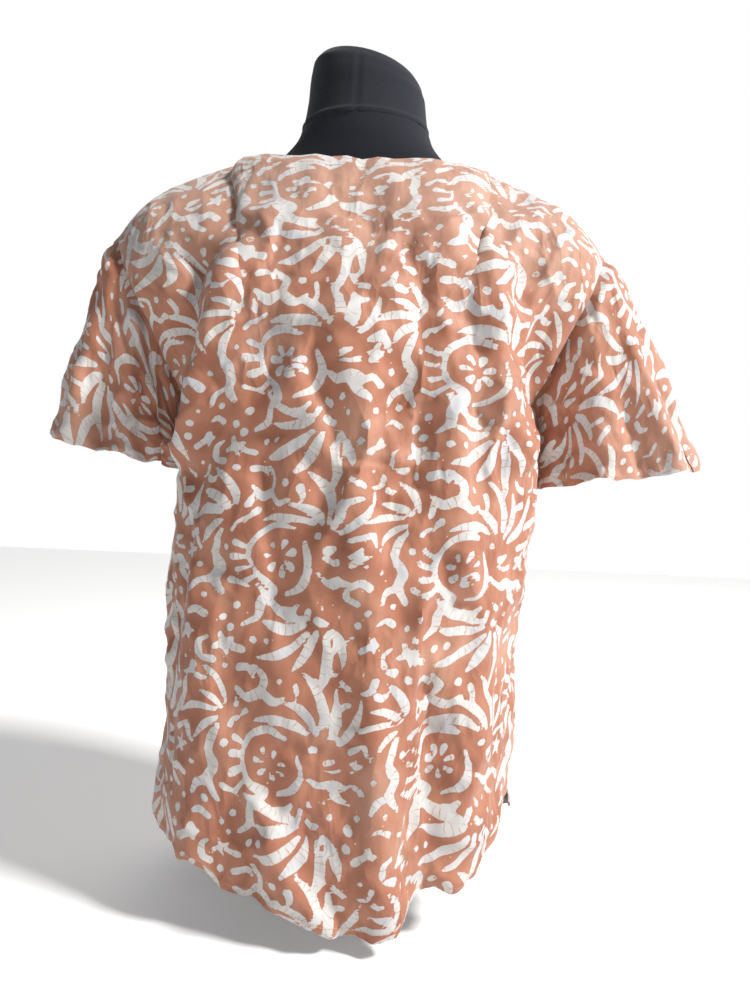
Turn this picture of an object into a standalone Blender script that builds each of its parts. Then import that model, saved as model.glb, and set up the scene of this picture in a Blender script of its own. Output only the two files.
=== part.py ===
"""Batik shirt on a limbless tabletop dress form.

Metres, +Z up.  The back of the shirt faces -Y, its front faces +Y, and the floor is z = 0.  Every piece of
the shirt is a thin wall raised on the middle surface of the cloth, which is worked out from the sizes below:
rings round the body up to the underarm, one curved line for each column from there to the neck and shoulder
seams, and a tube from each armhole to its cuff.
"""

import math
from collections import namedtuple

import bmesh
import bpy
import numpy as np

# ---------------------------------------------------------------- driving sizes
CLOTH_WALL = 0.0020            # thickness of the garment's walls
SEAM_SETBACK = 0.0002          # each panel stops this far short of the seam line
SLEEVE_SETBACK = 0.0004        # and each sleeve this far short of its armhole
TOUCH_GAP = 0.0003             # between the hard pieces of the form

UNDERARM_HEIGHT = 0.500
SHOULDER_TIP = (0.254, -0.008, 0.668)      # for the +X side; the other is its mirror
NECK_HALF_WIDTH = 0.130
NECK_SIDE = (-0.012, 0.745)                # y and z where neckline and shoulder seam meet
NECK_BACK = (-0.062, 0.737)                # y and z of the neckline at centre back
NECK_FRONT = (0.093, 0.672)                # y and z of the neckline at centre front
SQUARENESS = 2.4                           # 2 is an ellipse, more is boxier
# How far across a panel's columns the neckline reaches before the shoulder seam starts.
NECK_SHARE = (2 / math.pi) * math.asin((NECK_HALF_WIDTH / SHOULDER_TIP[0]) ** (SQUARENESS / 2))
SLIT_TOP = 0.158
SLIT_HALF_ANGLE = math.radians(3.5)        # at the hem, from the side line to each panel's edge
NECK_CURVE_POWER = 2.2                     # how late the neckline climbs on its way to the side
ARM_SPREAD = 0.020                         # how far the armhole line leaves the underarm outwards
ARM_INWARD = 0.012                         # how far it comes in before the shoulder tip
FOLD_FADE_SIDE = 0.22                      # share of a panel's half over which folds die out to its side
FOLD_FADE_TOP = 0.30
FRONT_FLARE = 0.017                        # the front's right hem corner stands out beyond the back
FLARE_FROM = 0.80
FLARE_RISE = 0.085

# Half sizes of the body ring at each height.
Girth = namedtuple("Girth", "height left right back front")
GIRTHS = (
    Girth(0.010, 0.181, 0.167, 0.138, 0.128),
    Girth(0.110, 0.181, 0.172, 0.138, 0.128),
    Girth(0.180, 0.178, 0.177, 0.138, 0.127),
    Girth(0.260, 0.179, 0.172, 0.136, 0.126),
    Girth(0.330, 0.175, 0.184, 0.133, 0.125),
    Girth(0.390, 0.170, 0.188, 0.132, 0.124),
    Girth(0.440, 0.167, 0.185, 0.130, 0.124),
    Girth(0.500, 0.176, 0.180, 0.128, 0.124),
)

# Height of the hem; across runs from -1 at the left side seam to 1 at the right one.
HemPoint = namedtuple("HemPoint", "across height")
HEM_BACK = (
    HemPoint(-1.00, 0.084),
    HemPoint(-0.82, 0.080),
    HemPoint(-0.40, 0.066),
    HemPoint(-0.30, 0.051),
    HemPoint(-0.11, 0.036),
    HemPoint(0.03, 0.021),
    HemPoint(0.17, 0.023),
    HemPoint(0.25, 0.049),
    HemPoint(0.48, 0.053),
    HemPoint(0.72, 0.096),
    HemPoint(1.00, 0.125),
)
HEM_FRONT = (
    HemPoint(-1.00, 0.046),
    HemPoint(-0.50, 0.030),
    HemPoint(0.00, 0.018),
    HemPoint(0.50, 0.040),
    HemPoint(1.00, 0.084),
)

# The shoulder line falls away from the neck to the tip of the shoulder.
ShoulderPoint = namedtuple("ShoulderPoint", "across height")
SHOULDER = (
    ShoulderPoint(0.130, 0.745),
    ShoulderPoint(0.195, 0.719),
    ShoulderPoint(0.229, 0.696),
    ShoulderPoint(0.254, 0.668),
)

# How a column of the upper body leaves the underarm ring and reaches the top edge.  lean is the angle from
# straight down to the cloth at the top edge; drop and rise are the lengths of the two guiding arms.
Guide = namedtuple("Guide", "across lean drop rise swell")
GUIDES_BACK = (
    Guide(0.00, 30.0, 0.085, 0.075, 0.004),
    Guide(0.30, 54.0, 0.085, 0.080, 0.007),
    Guide(0.65, 70.0, 0.088, 0.085, 0.010),
    Guide(1.00, 66.0, 0.070, 0.045, 0.052),
)
GUIDES_FRONT = (
    Guide(0.00, 14.0, 0.060, 0.055, 0.002),
    Guide(0.18, 42.0, 0.074, 0.066, 0.004),
    Guide(0.32, 77.0, 0.085, 0.080, 0.007),
    Guide(0.65, 82.0, 0.088, 0.085, 0.010),
    Guide(1.00, 68.0, 0.070, 0.045, 0.052),
)

# The largest folds: a soft ridge (height above 0) or trough (below 0) along a straight run on the panel.
Fold = namedtuple("Fold", "x_start z_start x_end z_end half_width height")
FOLDS_BACK = (
    Fold(-0.012, 0.640, 0.006, 0.430, 0.026, 0.007),
    Fold(0.006, 0.430, 0.030, 0.250, 0.026, 0.009),
    Fold(0.030, 0.250, 0.045, 0.020, 0.028, 0.012),
    Fold(0.083, 0.230, 0.087, 0.020, 0.022, -0.012),
    Fold(-0.045, 0.500, 0.012, 0.400, 0.020, 0.006),
    Fold(0.088, 0.490, 0.112, 0.330, 0.022, 0.007),
    Fold(-0.110, 0.610, -0.150, 0.450, 0.030, 0.013),
    Fold(-0.175, 0.620, -0.175, 0.520, 0.030, -0.016),
    Fold(0.120, 0.610, 0.160, 0.450, 0.030, 0.011),
    Fold(0.180, 0.620, 0.180, 0.520, 0.030, -0.014),
    Fold(-0.060, 0.120, -0.010, 0.030, 0.024, 0.008),
    Fold(-0.120, 0.300, -0.128, 0.050, 0.030, 0.007),
)
FOLDS_FRONT = (
    Fold(-0.020, 0.600, -0.028, 0.060, 0.032, 0.008),
    Fold(0.060, 0.520, 0.085, 0.060, 0.030, -0.008),
    Fold(-0.115, 0.570, -0.145, 0.430, 0.034, 0.008),
    Fold(0.115, 0.570, 0.150, 0.430, 0.034, 0.008),
    Fold(-0.100, 0.330, -0.115, 0.040, 0.030, 0.007),
    Fold(0.135, 0.260, 0.140, 0.080, 0.026, 0.007),
)

# Each sleeve's cuff is a flattened ring seen from below, from the outer tip to the inner corner.
Cuff = namedtuple("Cuff", "side tip_x tip_z inner_x inner_z half_depth")
CUFF_LEFT = Cuff(-1, 0.318, 0.455, 0.178, 0.424, 0.046)
CUFF_RIGHT = Cuff(1, 0.364, 0.450, 0.201, 0.422, 0.052)
SLEEVE_BULGE = 0.006           # how far the outer line swells past the straight
CUFF_CORNER_POWER = 0.8        # 1 is an ellipse
# How far a sleeve runs on outwards from its armhole: at the outer line, and how much more at the inner one.
ARMHOLE_PULL = (0.012, 0.010)
ARMHOLE_DROP = 0.022
CUFF_PULL = 0.030              # how far a sleeve runs straight into its cuff at the outer line
CUFF_RISE = (0.020, 0.050)
SLEEVE_PUFF = (0.012, -0.004)  # how far the faces swell near the armhole and near the cuff

# Lengthwise folds of a sleeve; turn is 0 at the outer line and 0.5 at the inner one, over the back first.
SleeveFold = namedtuple("SleeveFold", "turn half_width height")
SLEEVE_FOLDS = (
    SleeveFold(0.10, 0.050, -0.006),
    SleeveFold(0.19, 0.050, 0.008),
    SleeveFold(0.30, 0.050, -0.008),
    SleeveFold(0.40, 0.045, 0.006),
    SleeveFold(0.62, 0.050, -0.006),
    SleeveFold(0.73, 0.050, 0.007),
    SleeveFold(0.86, 0.050, -0.006),
)

# The dress form: half sizes of its rings.
FormRing = namedtuple("FormRing", "height half_width back front")
TORSO_RINGS = (
    FormRing(0.100, 0.146, 0.098, 0.090),
    FormRing(0.108, 0.152, 0.104, 0.096),
    FormRing(0.200, 0.156, 0.108, 0.098),
    FormRing(0.280, 0.143, 0.096, 0.090),
    FormRing(0.370, 0.122, 0.084, 0.082),
    FormRing(0.470, 0.137, 0.096, 0.096),
    FormRing(0.560, 0.154, 0.106, 0.106),
    FormRing(0.630, 0.166, 0.098, 0.090),
    FormRing(0.675, 0.176, 0.078, 0.068),
    FormRing(0.698, 0.171, 0.062, 0.053),
    FormRing(0.715, 0.152, 0.050, 0.046),
    FormRing(0.730, 0.125, 0.045, 0.036),
    FormRing(0.745, 0.101, 0.045, 0.037),
    FormRing(0.760, 0.084, 0.047, 0.044),
    FormRing(0.773, 0.073, 0.050, 0.048),
    FormRing(0.788, 0.0670, 0.052, 0.050),
)
NECK_RINGS = (
    FormRing(0.7883, 0.0672, 0.0525, 0.0505),
    FormRing(0.795, 0.0655, 0.0515, 0.0495),
    FormRing(0.816, 0.0623, 0.0500, 0.0480),
    FormRing(0.838, 0.0597, 0.0490, 0.0470),
    FormRing(0.850, 0.0555, 0.0455, 0.0435),
    FormRing(0.858, 0.0460, 0.0380, 0.0360),
    FormRing(0.863, 0.0300, 0.0250, 0.0240),
)
NECK_TOP_SLANT = 0.22          # the neck's top falls this much for each metre towards +X
NECK_SLANT_FROM = 0.816
NECK_SLANT_RUN = 0.03
POST_RADIUS = 0.016
BASE_RADIUS = 0.090
BASE_THICKNESS = 0.012
BASE_EDGE = 0.003

# ---------------------------------------------------------------- how finely each form is divided
COLUMNS = 26                   # across a body panel
ROWS_LOWER = 12                # hem to underarm
ROWS_UPPER = 10                # underarm to neck and shoulder
TOP_ROW_SHARE = 0.060          # the last row is as deep as the neck facing
LEAST_MITRE = 0.7              # a wall's seam edge is never drawn out further than 1 / this
SHARP_ANGLE = math.radians(50)
ROWS_SLEEVE = 7
TORSO_SIDES = 32
NECK_SIDES = 28
ROUND_SIDES = 40

# ---------------------------------------------------------------- colours
TERRACOTTA = (0.52, 0.20, 0.11, 1.0)
FACING_COLOUR = (0.60, 0.28, 0.17, 1.0)
JERSEY = (0.012, 0.014, 0.022, 1.0)
STAND_COLOUR = (0.05, 0.05, 0.05, 1.0)


# ---------------------------------------------------------------- small helpers
def clamp(value, low=0.0, high=1.0):
    return max(low, min(high, value))


def ease(value):
    value = clamp(value)
    return value * value * (3.0 - 2.0 * value)


def signed_power(value, power):
    return math.copysign(abs(value) ** power, value)


def read(table, key, column):
    """A smooth value from a table sorted on its first column."""
    keys = [row[0] for row in table]
    values = [getattr(row, column) for row in table]
    if key <= keys[0]:
        return values[0]
    if key >= keys[-1]:
        return values[-1]
    i = max(k for k in range(len(keys) - 1) if keys[k] <= key)
    slopes = []
    for k in (i, i + 1):
        before = max(k - 1, 0)
        after = min(k + 1, len(keys) - 1)
        slopes.append((values[after] - values[before]) / (keys[after] - keys[before]))
    span = keys[i + 1] - keys[i]
    t = (key - keys[i]) / span
    return (
        values[i] * (1 + 2 * t) * (1 - t) ** 2
        + values[i + 1] * t * t * (3 - 2 * t)
        + span * slopes[0] * t * (1 - t) ** 2
        - span * slopes[1] * t * t * (1 - t)
    )


def bezier(p0, p1, p2, p3, t):
    s = 1.0 - t
    return s**3 * p0 + 3 * s * s * t * p1 + 3 * s * t * t * p2 + t**3 * p3


# ---------------------------------------------------------------- the body's middle surface
def ring_point(side, across, height):
    """A point of the body below the underarm; side is -1 for the back and 1 for the front."""
    opening = SLIT_HALF_ANGLE * clamp((SLIT_TOP - height) / SLIT_TOP)
    angle = across * (math.pi / 2 - opening)
    half = read(GIRTHS, height, "right" if across > 0 else "left")
    depth = read(GIRTHS, height, "back" if side < 0 else "front")
    x = half * signed_power(math.sin(angle), 2 / SQUARENESS)
    if side > 0:
        outer = ease((across - FLARE_FROM) / (1 - FLARE_FROM))
        x += FRONT_FLARE * outer * ease((SLIT_TOP - height) / FLARE_RISE)
    y = side * depth * max(math.cos(angle), 0.0) ** (2 / SQUARENESS)
    return np.array((x, y, height))


def top_point(side, across):
    """A point of the neckline, or beyond it of the shoulder seam."""
    share = abs(across) / NECK_SHARE
    if share < 1:
        middle = NECK_BACK if side < 0 else NECK_FRONT
        turn = share * math.pi / 2
        x = math.copysign(NECK_HALF_WIDTH * math.sin(turn), across)
        y = NECK_SIDE[0] + (middle[0] - NECK_SIDE[0]) * math.cos(turn)
        z = middle[1] + (NECK_SIDE[1] - middle[1]) * math.sin(turn) ** NECK_CURVE_POWER
        return np.array((x, y, z))
    x = SHOULDER_TIP[0] * signed_power(math.sin(across * math.pi / 2), 2 / SQUARENESS)
    beyond = (abs(x) - NECK_HALF_WIDTH) / (SHOULDER_TIP[0] - NECK_HALF_WIDTH)
    y = NECK_SIDE[0] + (SHOULDER_TIP[1] - NECK_SIDE[0]) * beyond
    return np.array((x, y, read(SHOULDER, abs(x), "height")))


def upper_point(side, across, climb):
    """A point between the underarm ring (climb 0) and the top edge (climb 1)."""
    guides = GUIDES_BACK if side < 0 else GUIDES_FRONT
    out = abs(across)
    lean = math.radians(read(guides, out, "lean"))
    drop = read(guides, out, "drop")
    rise = read(guides, out, "rise")
    swell = read(guides, out, "swell")
    foot = ring_point(side, across, UNDERARM_HEIGHT)
    top = top_point(side, across)
    spread = math.copysign(ARM_SPREAD * out**3, across)
    low_arm = foot + np.array((spread, side * swell, rise))
    inward = math.copysign(ARM_INWARD * out**3, across)
    high_arm = top + np.array((-inward, side * drop * math.sin(lean), -drop * math.cos(lean)))
    return bezier(foot, low_arm, high_arm, top, climb)


def fold_height(folds, x, z):
    """Runs that follow on from each other don't add up where they meet."""
    ridge = 0.0
    trough = 0.0
    for fold in folds:
        run = np.array((fold.x_end - fold.x_start, fold.z_end - fold.z_start))
        to_point = np.array((x - fold.x_start, z - fold.z_start))
        share = clamp(to_point @ run / (run @ run))
        away = np.linalg.norm(to_point - share * run) / fold.half_width
        height = fold.height * math.exp(-away * away)
        ridge = max(ridge, height)
        trough = min(trough, height)
    return ridge + trough


def body_grid(side):
    """Rows of points from the hem to the top edge, and how much of a fold each may take."""
    hem = HEM_BACK if side < 0 else HEM_FRONT
    rows = []
    fades = []
    columns = [2 * i / COLUMNS - 1 for i in range(COLUMNS + 1)]
    nearest = min(range(COLUMNS + 1), key=lambda i: abs(columns[i] - NECK_SHARE))
    columns[nearest] = NECK_SHARE
    columns[COLUMNS - nearest] = -NECK_SHARE
    climbs = [(1 - TOP_ROW_SHARE) * k / (ROWS_UPPER - 1) for k in range(1, ROWS_UPPER)] + [1.0]
    for step in range(ROWS_LOWER + 1):
        row = []
        for across in columns:
            low = read(hem, across, "height")
            height = low + (UNDERARM_HEIGHT - low) * step / ROWS_LOWER
            row.append(ring_point(side, across, height))
        rows.append(row)
        fades.append([ease((1 - abs(c)) / FOLD_FADE_SIDE) for c in columns])
    for climb in climbs:
        rows.append([upper_point(side, across, climb) for across in columns])
        top = ease((1 - climb) / FOLD_FADE_TOP)
        fades.append([ease((1 - abs(c)) / FOLD_FADE_SIDE) * top for c in columns])
    points = np.array(rows)
    lift = np.array(fades)
    normals = grid_normals(points, closed=False) * side
    folds = FOLDS_BACK if side < 0 else FOLDS_FRONT
    for r in range(points.shape[0]):
        for c in range(points.shape[1]):
            height = fold_height(folds, points[r, c, 0], points[r, c, 2])
            points[r, c] += normals[r, c] * height * lift[r, c]
    return points, nearest


def grid_normals(points, closed):
    """Unit normals of a grid of points; the columns may close into a ring."""
    if closed:
        along = np.roll(points, -1, axis=1) - np.roll(points, 1, axis=1)
    else:
        along = np.gradient(points, axis=1)
    up = np.gradient(points, axis=0)
    normals = np.cross(up, along)
    return normals / np.maximum(np.linalg.norm(normals, axis=2, keepdims=True), 1e-12)


# ---------------------------------------------------------------- the sleeves' middle surface
def sleeve_grid(cuff, back, front):
    """Rings from the armhole to the cuff, each starting at the shoulder and going down the back."""
    column = -1 if cuff.side > 0 else 0
    back_edge = back[ROWS_LOWER:, column]
    front_edge = front[ROWS_LOWER:, column]
    armhole = np.array(list(back_edge[::-1]) + list(front_edge[1:-1]))
    count = len(armhole)
    rings = []
    for step in range(ROWS_SLEEVE + 1):
        share = step / ROWS_SLEEVE
        ring = []
        for i in range(count):
            turn = i / count
            over = math.cos(2 * math.pi * turn)                 # 1 at the outer line, -1 at the inner
            reach = 0.5 + 0.5 * over
            face = -math.sin(2 * math.pi * turn)                # below 0 on the back
            x = cuff.inner_x + (cuff.tip_x - cuff.inner_x) * reach
            z = cuff.inner_z + (cuff.tip_z - cuff.inner_z) * reach
            y = cuff.half_depth * signed_power(face, CUFF_CORNER_POWER)
            end = np.array((cuff.side * x, y, z))
            start = armhole[i]
            outward = np.array((cuff.side, 0.0, 0.0))
            pull = ARMHOLE_PULL[0] + ARMHOLE_PULL[1] * (1 - reach)
            rise = CUFF_RISE[0] + CUFF_RISE[1] * reach
            first = start + outward * pull + np.array((0, SLEEVE_PUFF[0] * face, -ARMHOLE_DROP * reach))
            last = end - outward * CUFF_PULL * reach + np.array((0, SLEEVE_PUFF[1] * face, rise))
            point = bezier(start, first, last, end, share)
            point = point + outward * SLEEVE_BULGE * reach * math.sin(math.pi * share)
            ring.append(point)
        rings.append(ring)
    points = np.array(rings)
    normals = grid_normals(points, closed=True) * -cuff.side
    for r in range(points.shape[0]):
        share = ease(r / ROWS_SLEEVE)
        for c in range(count):
            height = 0.0
            for fold in SLEEVE_FOLDS:
                away = (c / count - fold.turn) / fold.half_width
                height += fold.height * math.exp(-away * away)
            points[r, c] += normals[r, c] * height * share
    return points


# ---------------------------------------------------------------- from points to walls
def outward_normals(points, faces):
    normals = np.zeros_like(points)
    for face in faces:
        corners = points[list(face)]
        normal = np.zeros(3)
        for k in range(1, len(face) - 1):
            normal += np.cross(corners[k] - corners[0], corners[k + 1] - corners[0])
        for vertex in face:
            normals[vertex] += normal
    return normals / np.maximum(np.linalg.norm(normals, axis=1, keepdims=True), 1e-12)


def grid_faces(rows, columns, closed, flip):
    faces = []
    for r in range(rows - 1):
        for c in range(columns if closed else columns - 1):
            d = (c + 1) % columns
            face = (r * columns + c, r * columns + d, (r + 1) * columns + d, (r + 1) * columns + c)
            faces.append(face[::-1] if flip else face)
    return faces


def share_normals(pieces):
    """Pieces that meet on a seam line use one direction for their walls there."""
    sums = {}
    for points, normals in pieces:
        for point, normal in zip(points, normals):
            key = tuple(np.round(point, 6))
            sums[key] = sums.get(key, 0) + normal
    shared = []
    for points, normals in pieces:
        new = []
        for point, normal in zip(points, normals):
            total = sums[tuple(np.round(point, 6))]
            unit = total / max(np.linalg.norm(total), 1e-9)
            new.append(unit / max(unit @ normal, LEAST_MITRE))
        shared.append(np.array(new))
    return shared


def set_back(points, edges, distance):
    """Move each seam vertex a little way towards its neighbour inside the piece."""
    moved = points.copy()
    for vertex, inner in edges:
        step = points[inner] - points[vertex]
        moved[vertex] += step / np.linalg.norm(step) * distance
    return moved


def boundary_edges(faces):
    seen = {}
    for face in faces:
        for a, b in zip(face, face[1:] + face[:1]):
            seen[(a, b)] = True
    return [(a, b) for (a, b) in seen if (b, a) not in seen]


def add_wall(name, points, faces, normals, thickness, material, offset=0.0):
    """A closed wall of even thickness on a surface; offset moves it along the normals."""
    count = len(points)
    outer = points + normals * (offset + thickness / 2)
    inner = points + normals * (offset - thickness / 2)
    solid = [tuple(f) for f in faces]
    solid += [tuple(v + count for v in reversed(f)) for f in faces]
    solid += [(b, a, a + count, b + count) for a, b in boundary_edges(faces)]
    return add_object(name, [tuple(p) for p in np.vstack((outer, inner))], solid, material)


def add_object(name, vertices, faces, material, smooth=True):
    mesh = bpy.data.meshes.new(name)
    mesh.from_pydata(vertices, [], faces)
    mesh.validate()
    shell = bmesh.new()
    shell.from_mesh(mesh)
    loose = [v for v in shell.verts if not v.link_faces]
    bmesh.ops.delete(shell, geom=loose, context="VERTS")
    bmesh.ops.triangulate(shell, faces=shell.faces[:], quad_method="SHORT_EDGE")
    shell.to_mesh(mesh)
    shell.free()
    if smooth:
        mesh.shade_smooth()
        mesh.set_sharp_from_angle(angle=SHARP_ANGLE)
    mesh.materials.append(material)
    thing = bpy.data.objects.new(name, mesh)
    bpy.context.collection.objects.link(thing)
    return thing


def make_material(name, colour, roughness, metallic=0.0):
    material = bpy.data.materials.new(name)
    material.use_nodes = True
    shader = material.node_tree.nodes["Principled BSDF"]
    shader.inputs["Base Color"].default_value = colour
    shader.inputs["Roughness"].default_value = roughness
    shader.inputs["Metallic"].default_value = metallic
    material.diffuse_color = colour
    return material


# ---------------------------------------------------------------- the shirt
def seam_edges(rows, columns, neck_column):
    """For each seam vertex of a panel, the vertex further in: side seams, armholes and shoulders."""
    edges = []
    for r in range(rows):
        edges.append((r * columns, r * columns + 1))
        edges.append((r * columns + columns - 1, r * columns + columns - 2))
    top = (rows - 1) * columns
    for c in range(columns):
        if c >= neck_column or c <= columns - 1 - neck_column:
            edges.append((top + c, top - columns + c))
    return edges


def build_shirt():
    back, neck_column = body_grid(-1)
    front, _ = body_grid(1)
    sleeve_left = sleeve_grid(CUFF_LEFT, back, front)
    sleeve_right = sleeve_grid(CUFF_RIGHT, back, front)
    rows, columns = back.shape[:2]
    rings, around = sleeve_left.shape[:2]
    parts = [
        ("back_panel", back, grid_faces(rows, columns, False, False)),
        ("front_panel", front, grid_faces(rows, columns, False, True)),
        ("sleeve_left", sleeve_left, grid_faces(rings, around, True, True)),
        ("sleeve_right", sleeve_right, grid_faces(rings, around, True, False)),
    ]
    flat = [(name, grid.reshape(-1, 3), faces) for name, grid, faces in parts]
    own = [(points, outward_normals(points, faces)) for _, points, faces in flat]
    shared = share_normals(own)
    panel_edges = seam_edges(rows, columns, neck_column)
    sleeve_edges = [(i, i + around) for i in range(around)]
    for (name, points, faces), normals in zip(flat, shared):
        if name.endswith("panel"):
            middle = set_back(points, panel_edges, SEAM_SETBACK)
        else:
            middle = set_back(points, sleeve_edges, SLEEVE_SETBACK)
        material = make_material(name, TERRACOTTA, 0.85)
        add_wall(name, middle, faces, normals, CLOTH_WALL, material)
    build_facing(flat, shared, rows, columns, neck_column)


def build_facing(flat, shared, rows, columns, neck_column):
    """The strip turned to the inside of the neck: the panels' own points there, moved inwards."""
    first = columns - 2 - neck_column
    last = neck_column + 1
    points = []
    normals = []
    index = {}
    faces = []
    for (_, panel, quads), shared_normals in zip(flat[:2], shared[:2]):
        for face in quads:
            spots = [(v // columns, v % columns) for v in face]
            if any(r < rows - 2 or c < first or c > last for r, c in spots):
                continue
            corners = []
            for v in face:
                key = tuple(np.round(panel[v], 6))
                if key not in index:
                    index[key] = len(points)
                    points.append(panel[v])
                    normals.append(shared_normals[v])
                corners.append(index[key])
            faces.append(tuple(corners))
    inside = -(CLOTH_WALL + CLOTH_WALL) / 2 - 2 * TOUCH_GAP
    material = make_material("neck_facing", FACING_COLOUR, 0.85)
    add_wall("neck_facing", np.array(points), faces, np.array(normals), CLOTH_WALL, material, inside)


# ---------------------------------------------------------------- the dress form
def form_loft(name, rings, sides, slant, material):
    vertices = []
    for ring in rings:
        for i in range(sides):
            angle = 2 * math.pi * i / sides
            x = ring.half_width * math.cos(angle)
            y = math.sin(angle) * (ring.front if math.sin(angle) > 0 else ring.back)
            tilt = slant * ease((ring.height - NECK_SLANT_FROM) / NECK_SLANT_RUN)
            vertices.append((x, y, ring.height - tilt * x))
    faces = []
    for r in range(len(rings) - 1):
        for c in range(sides):
            d = (c + 1) % sides
            faces.append((r * sides + c, r * sides + d, (r + 1) * sides + d, (r + 1) * sides + c))
    faces.append(tuple(reversed(range(sides))))
    top = (len(rings) - 1) * sides
    faces.append(tuple(range(top, top + sides)))
    return add_object(name, vertices, faces, material)


def turned(name, outline, sides, material):
    """A solid of revolution about Z; outline runs from the bottom to the top."""
    vertices = []
    for radius, height in outline:
        for i in range(sides):
            angle = 2 * math.pi * i / sides
            vertices.append((radius * math.cos(angle), radius * math.sin(angle), height))
    faces = []
    for r in range(len(outline) - 1):
        for c in range(sides):
            d = (c + 1) % sides
            faces.append((r * sides + c, r * sides + d, (r + 1) * sides + d, (r + 1) * sides + c))
    faces.append(tuple(reversed(range(sides))))
    top = (len(outline) - 1) * sides
    faces.append(tuple(range(top, top + sides)))
    return add_object(name, vertices, faces, material)


def finer(rings, column_names, heights):
    return [FormRing(h, *(read(rings, h, name) for name in column_names)) for h in heights]


def build_form():
    jersey = make_material("form_torso", JERSEY, 0.9)
    cap_jersey = make_material("form_neck", JERSEY, 0.9)
    names = ("half_width", "back", "front")
    heights = [ring.height for ring in TORSO_RINGS]
    between = [(a + b) / 2 for a, b in zip(heights[1:8], heights[2:9])]
    torso = finer(TORSO_RINGS, names, sorted(heights + between))
    form_loft("form_torso", torso, TORSO_SIDES, 0.0, jersey)
    form_loft("form_neck", NECK_RINGS, NECK_SIDES, NECK_TOP_SLANT, cap_jersey)
    post_low = BASE_THICKNESS + TOUCH_GAP
    post_high = TORSO_RINGS[0].height - TOUCH_GAP
    turned(
        "form_post",
        [(POST_RADIUS, post_low), (POST_RADIUS, post_high)],
        ROUND_SIDES // 2,
        make_material("form_post", STAND_COLOUR, 0.4),
    )
    turned(
        "form_base",
        [
            (BASE_RADIUS, 0.0),
            (BASE_RADIUS, BASE_THICKNESS - BASE_EDGE),
            (BASE_RADIUS - BASE_EDGE, BASE_THICKNESS),
        ],
        ROUND_SIDES,
        make_material("form_base", STAND_COLOUR, 0.4),
    )


def main():
    for thing in list(bpy.data.objects):
        bpy.data.objects.remove(thing, do_unlink=True)
    build_shirt()
    build_form()


main()
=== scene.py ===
"""Looks of the batik shirt on its dress form: wrinkled printed cotton over a dark jersey form."""

import math
from collections import namedtuple

import bpy
import numpy as np
from mathutils import Matrix, Vector
from mathutils.bvhtree import BVHTree


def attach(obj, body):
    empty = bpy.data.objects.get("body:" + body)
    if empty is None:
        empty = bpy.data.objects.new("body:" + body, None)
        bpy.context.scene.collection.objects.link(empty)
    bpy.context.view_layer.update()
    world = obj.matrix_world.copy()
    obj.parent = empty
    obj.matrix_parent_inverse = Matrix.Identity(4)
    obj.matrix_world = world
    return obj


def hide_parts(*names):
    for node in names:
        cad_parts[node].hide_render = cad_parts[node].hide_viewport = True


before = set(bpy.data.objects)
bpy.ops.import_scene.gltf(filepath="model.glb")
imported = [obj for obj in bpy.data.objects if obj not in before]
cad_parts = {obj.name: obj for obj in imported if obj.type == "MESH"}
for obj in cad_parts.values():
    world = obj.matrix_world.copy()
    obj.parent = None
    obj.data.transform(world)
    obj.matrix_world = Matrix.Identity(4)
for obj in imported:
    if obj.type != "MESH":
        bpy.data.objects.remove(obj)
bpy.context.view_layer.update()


def table(columns, *rows):
    """Rows whose columns have names."""
    kind = namedtuple("Row", columns)
    return [kind(*row) for row in rows]


# ======== the garment's sizes, as in the CAD; metres, and pairs are (y, z)
UNDERARM_HEIGHT = 0.500
SHOULDER_TIP = (0.254, -0.008, 0.668)
NECK_HALF_WIDTH = 0.130
NECK_SIDE = (-0.012, 0.745)
NECK_BACK = (-0.062, 0.737)
NECK_FRONT = (0.093, 0.672)
SQUARENESS = 2.4
NECK_SHARE = (2 / math.pi) * math.asin((NECK_HALF_WIDTH / SHOULDER_TIP[0]) ** (SQUARENESS / 2))
NECK_CURVE_POWER = 2.2         # how late the neckline climbs on its way to the side
ARM_SPREAD = 0.020             # how far the armhole line leaves the underarm outwards
ARM_INWARD = 0.012             # how far it comes in before the shoulder tip
FOLD_FADE_SIDE = 0.22          # share of a panel's half over which folds die out to its side
FOLD_FADE_TOP = 0.30
SLIT_TOP = 0.158
SLIT_HALF_ANGLE = math.radians(3.5)
FRONT_FLARE = 0.017            # how far the front's right corner stands out beside the slit
FLARE_FROM = 0.80
FLARE_RISE = 0.085

GIRTHS = table(
    "height left right back front",
    (0.010, 0.181, 0.167, 0.138, 0.128),
    (0.110, 0.181, 0.172, 0.138, 0.128),
    (0.180, 0.178, 0.177, 0.138, 0.127),
    (0.260, 0.179, 0.172, 0.136, 0.126),
    (0.330, 0.175, 0.184, 0.133, 0.125),
    (0.390, 0.170, 0.188, 0.132, 0.124),
    (0.440, 0.167, 0.185, 0.130, 0.124),
    (0.500, 0.176, 0.180, 0.128, 0.124),
)
HEM_BACK = table(
    "across height",
    (-1.00, 0.084),
    (-0.82, 0.080),
    (-0.40, 0.066),
    (-0.30, 0.051),
    (-0.11, 0.036),
    (0.03, 0.021),
    (0.17, 0.023),
    (0.25, 0.049),
    (0.48, 0.053),
    (0.72, 0.096),
    (1.00, 0.125),
)
HEM_FRONT = table(
    "across height",
    (-1.00, 0.046),
    (-0.50, 0.030),
    (0.00, 0.018),
    (0.50, 0.040),
    (1.00, 0.084),
)
SHOULDER = table(
    "across height",
    (0.130, 0.745),
    (0.195, 0.719),
    (0.229, 0.696),
    (0.254, 0.668),
)
GUIDES_BACK = table(
    "across lean drop rise swell",
    (0.00, 30.0, 0.085, 0.075, 0.004),
    (0.30, 54.0, 0.085, 0.080, 0.007),
    (0.65, 70.0, 0.088, 0.085, 0.010),
    (1.00, 66.0, 0.070, 0.045, 0.052),
)
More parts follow.
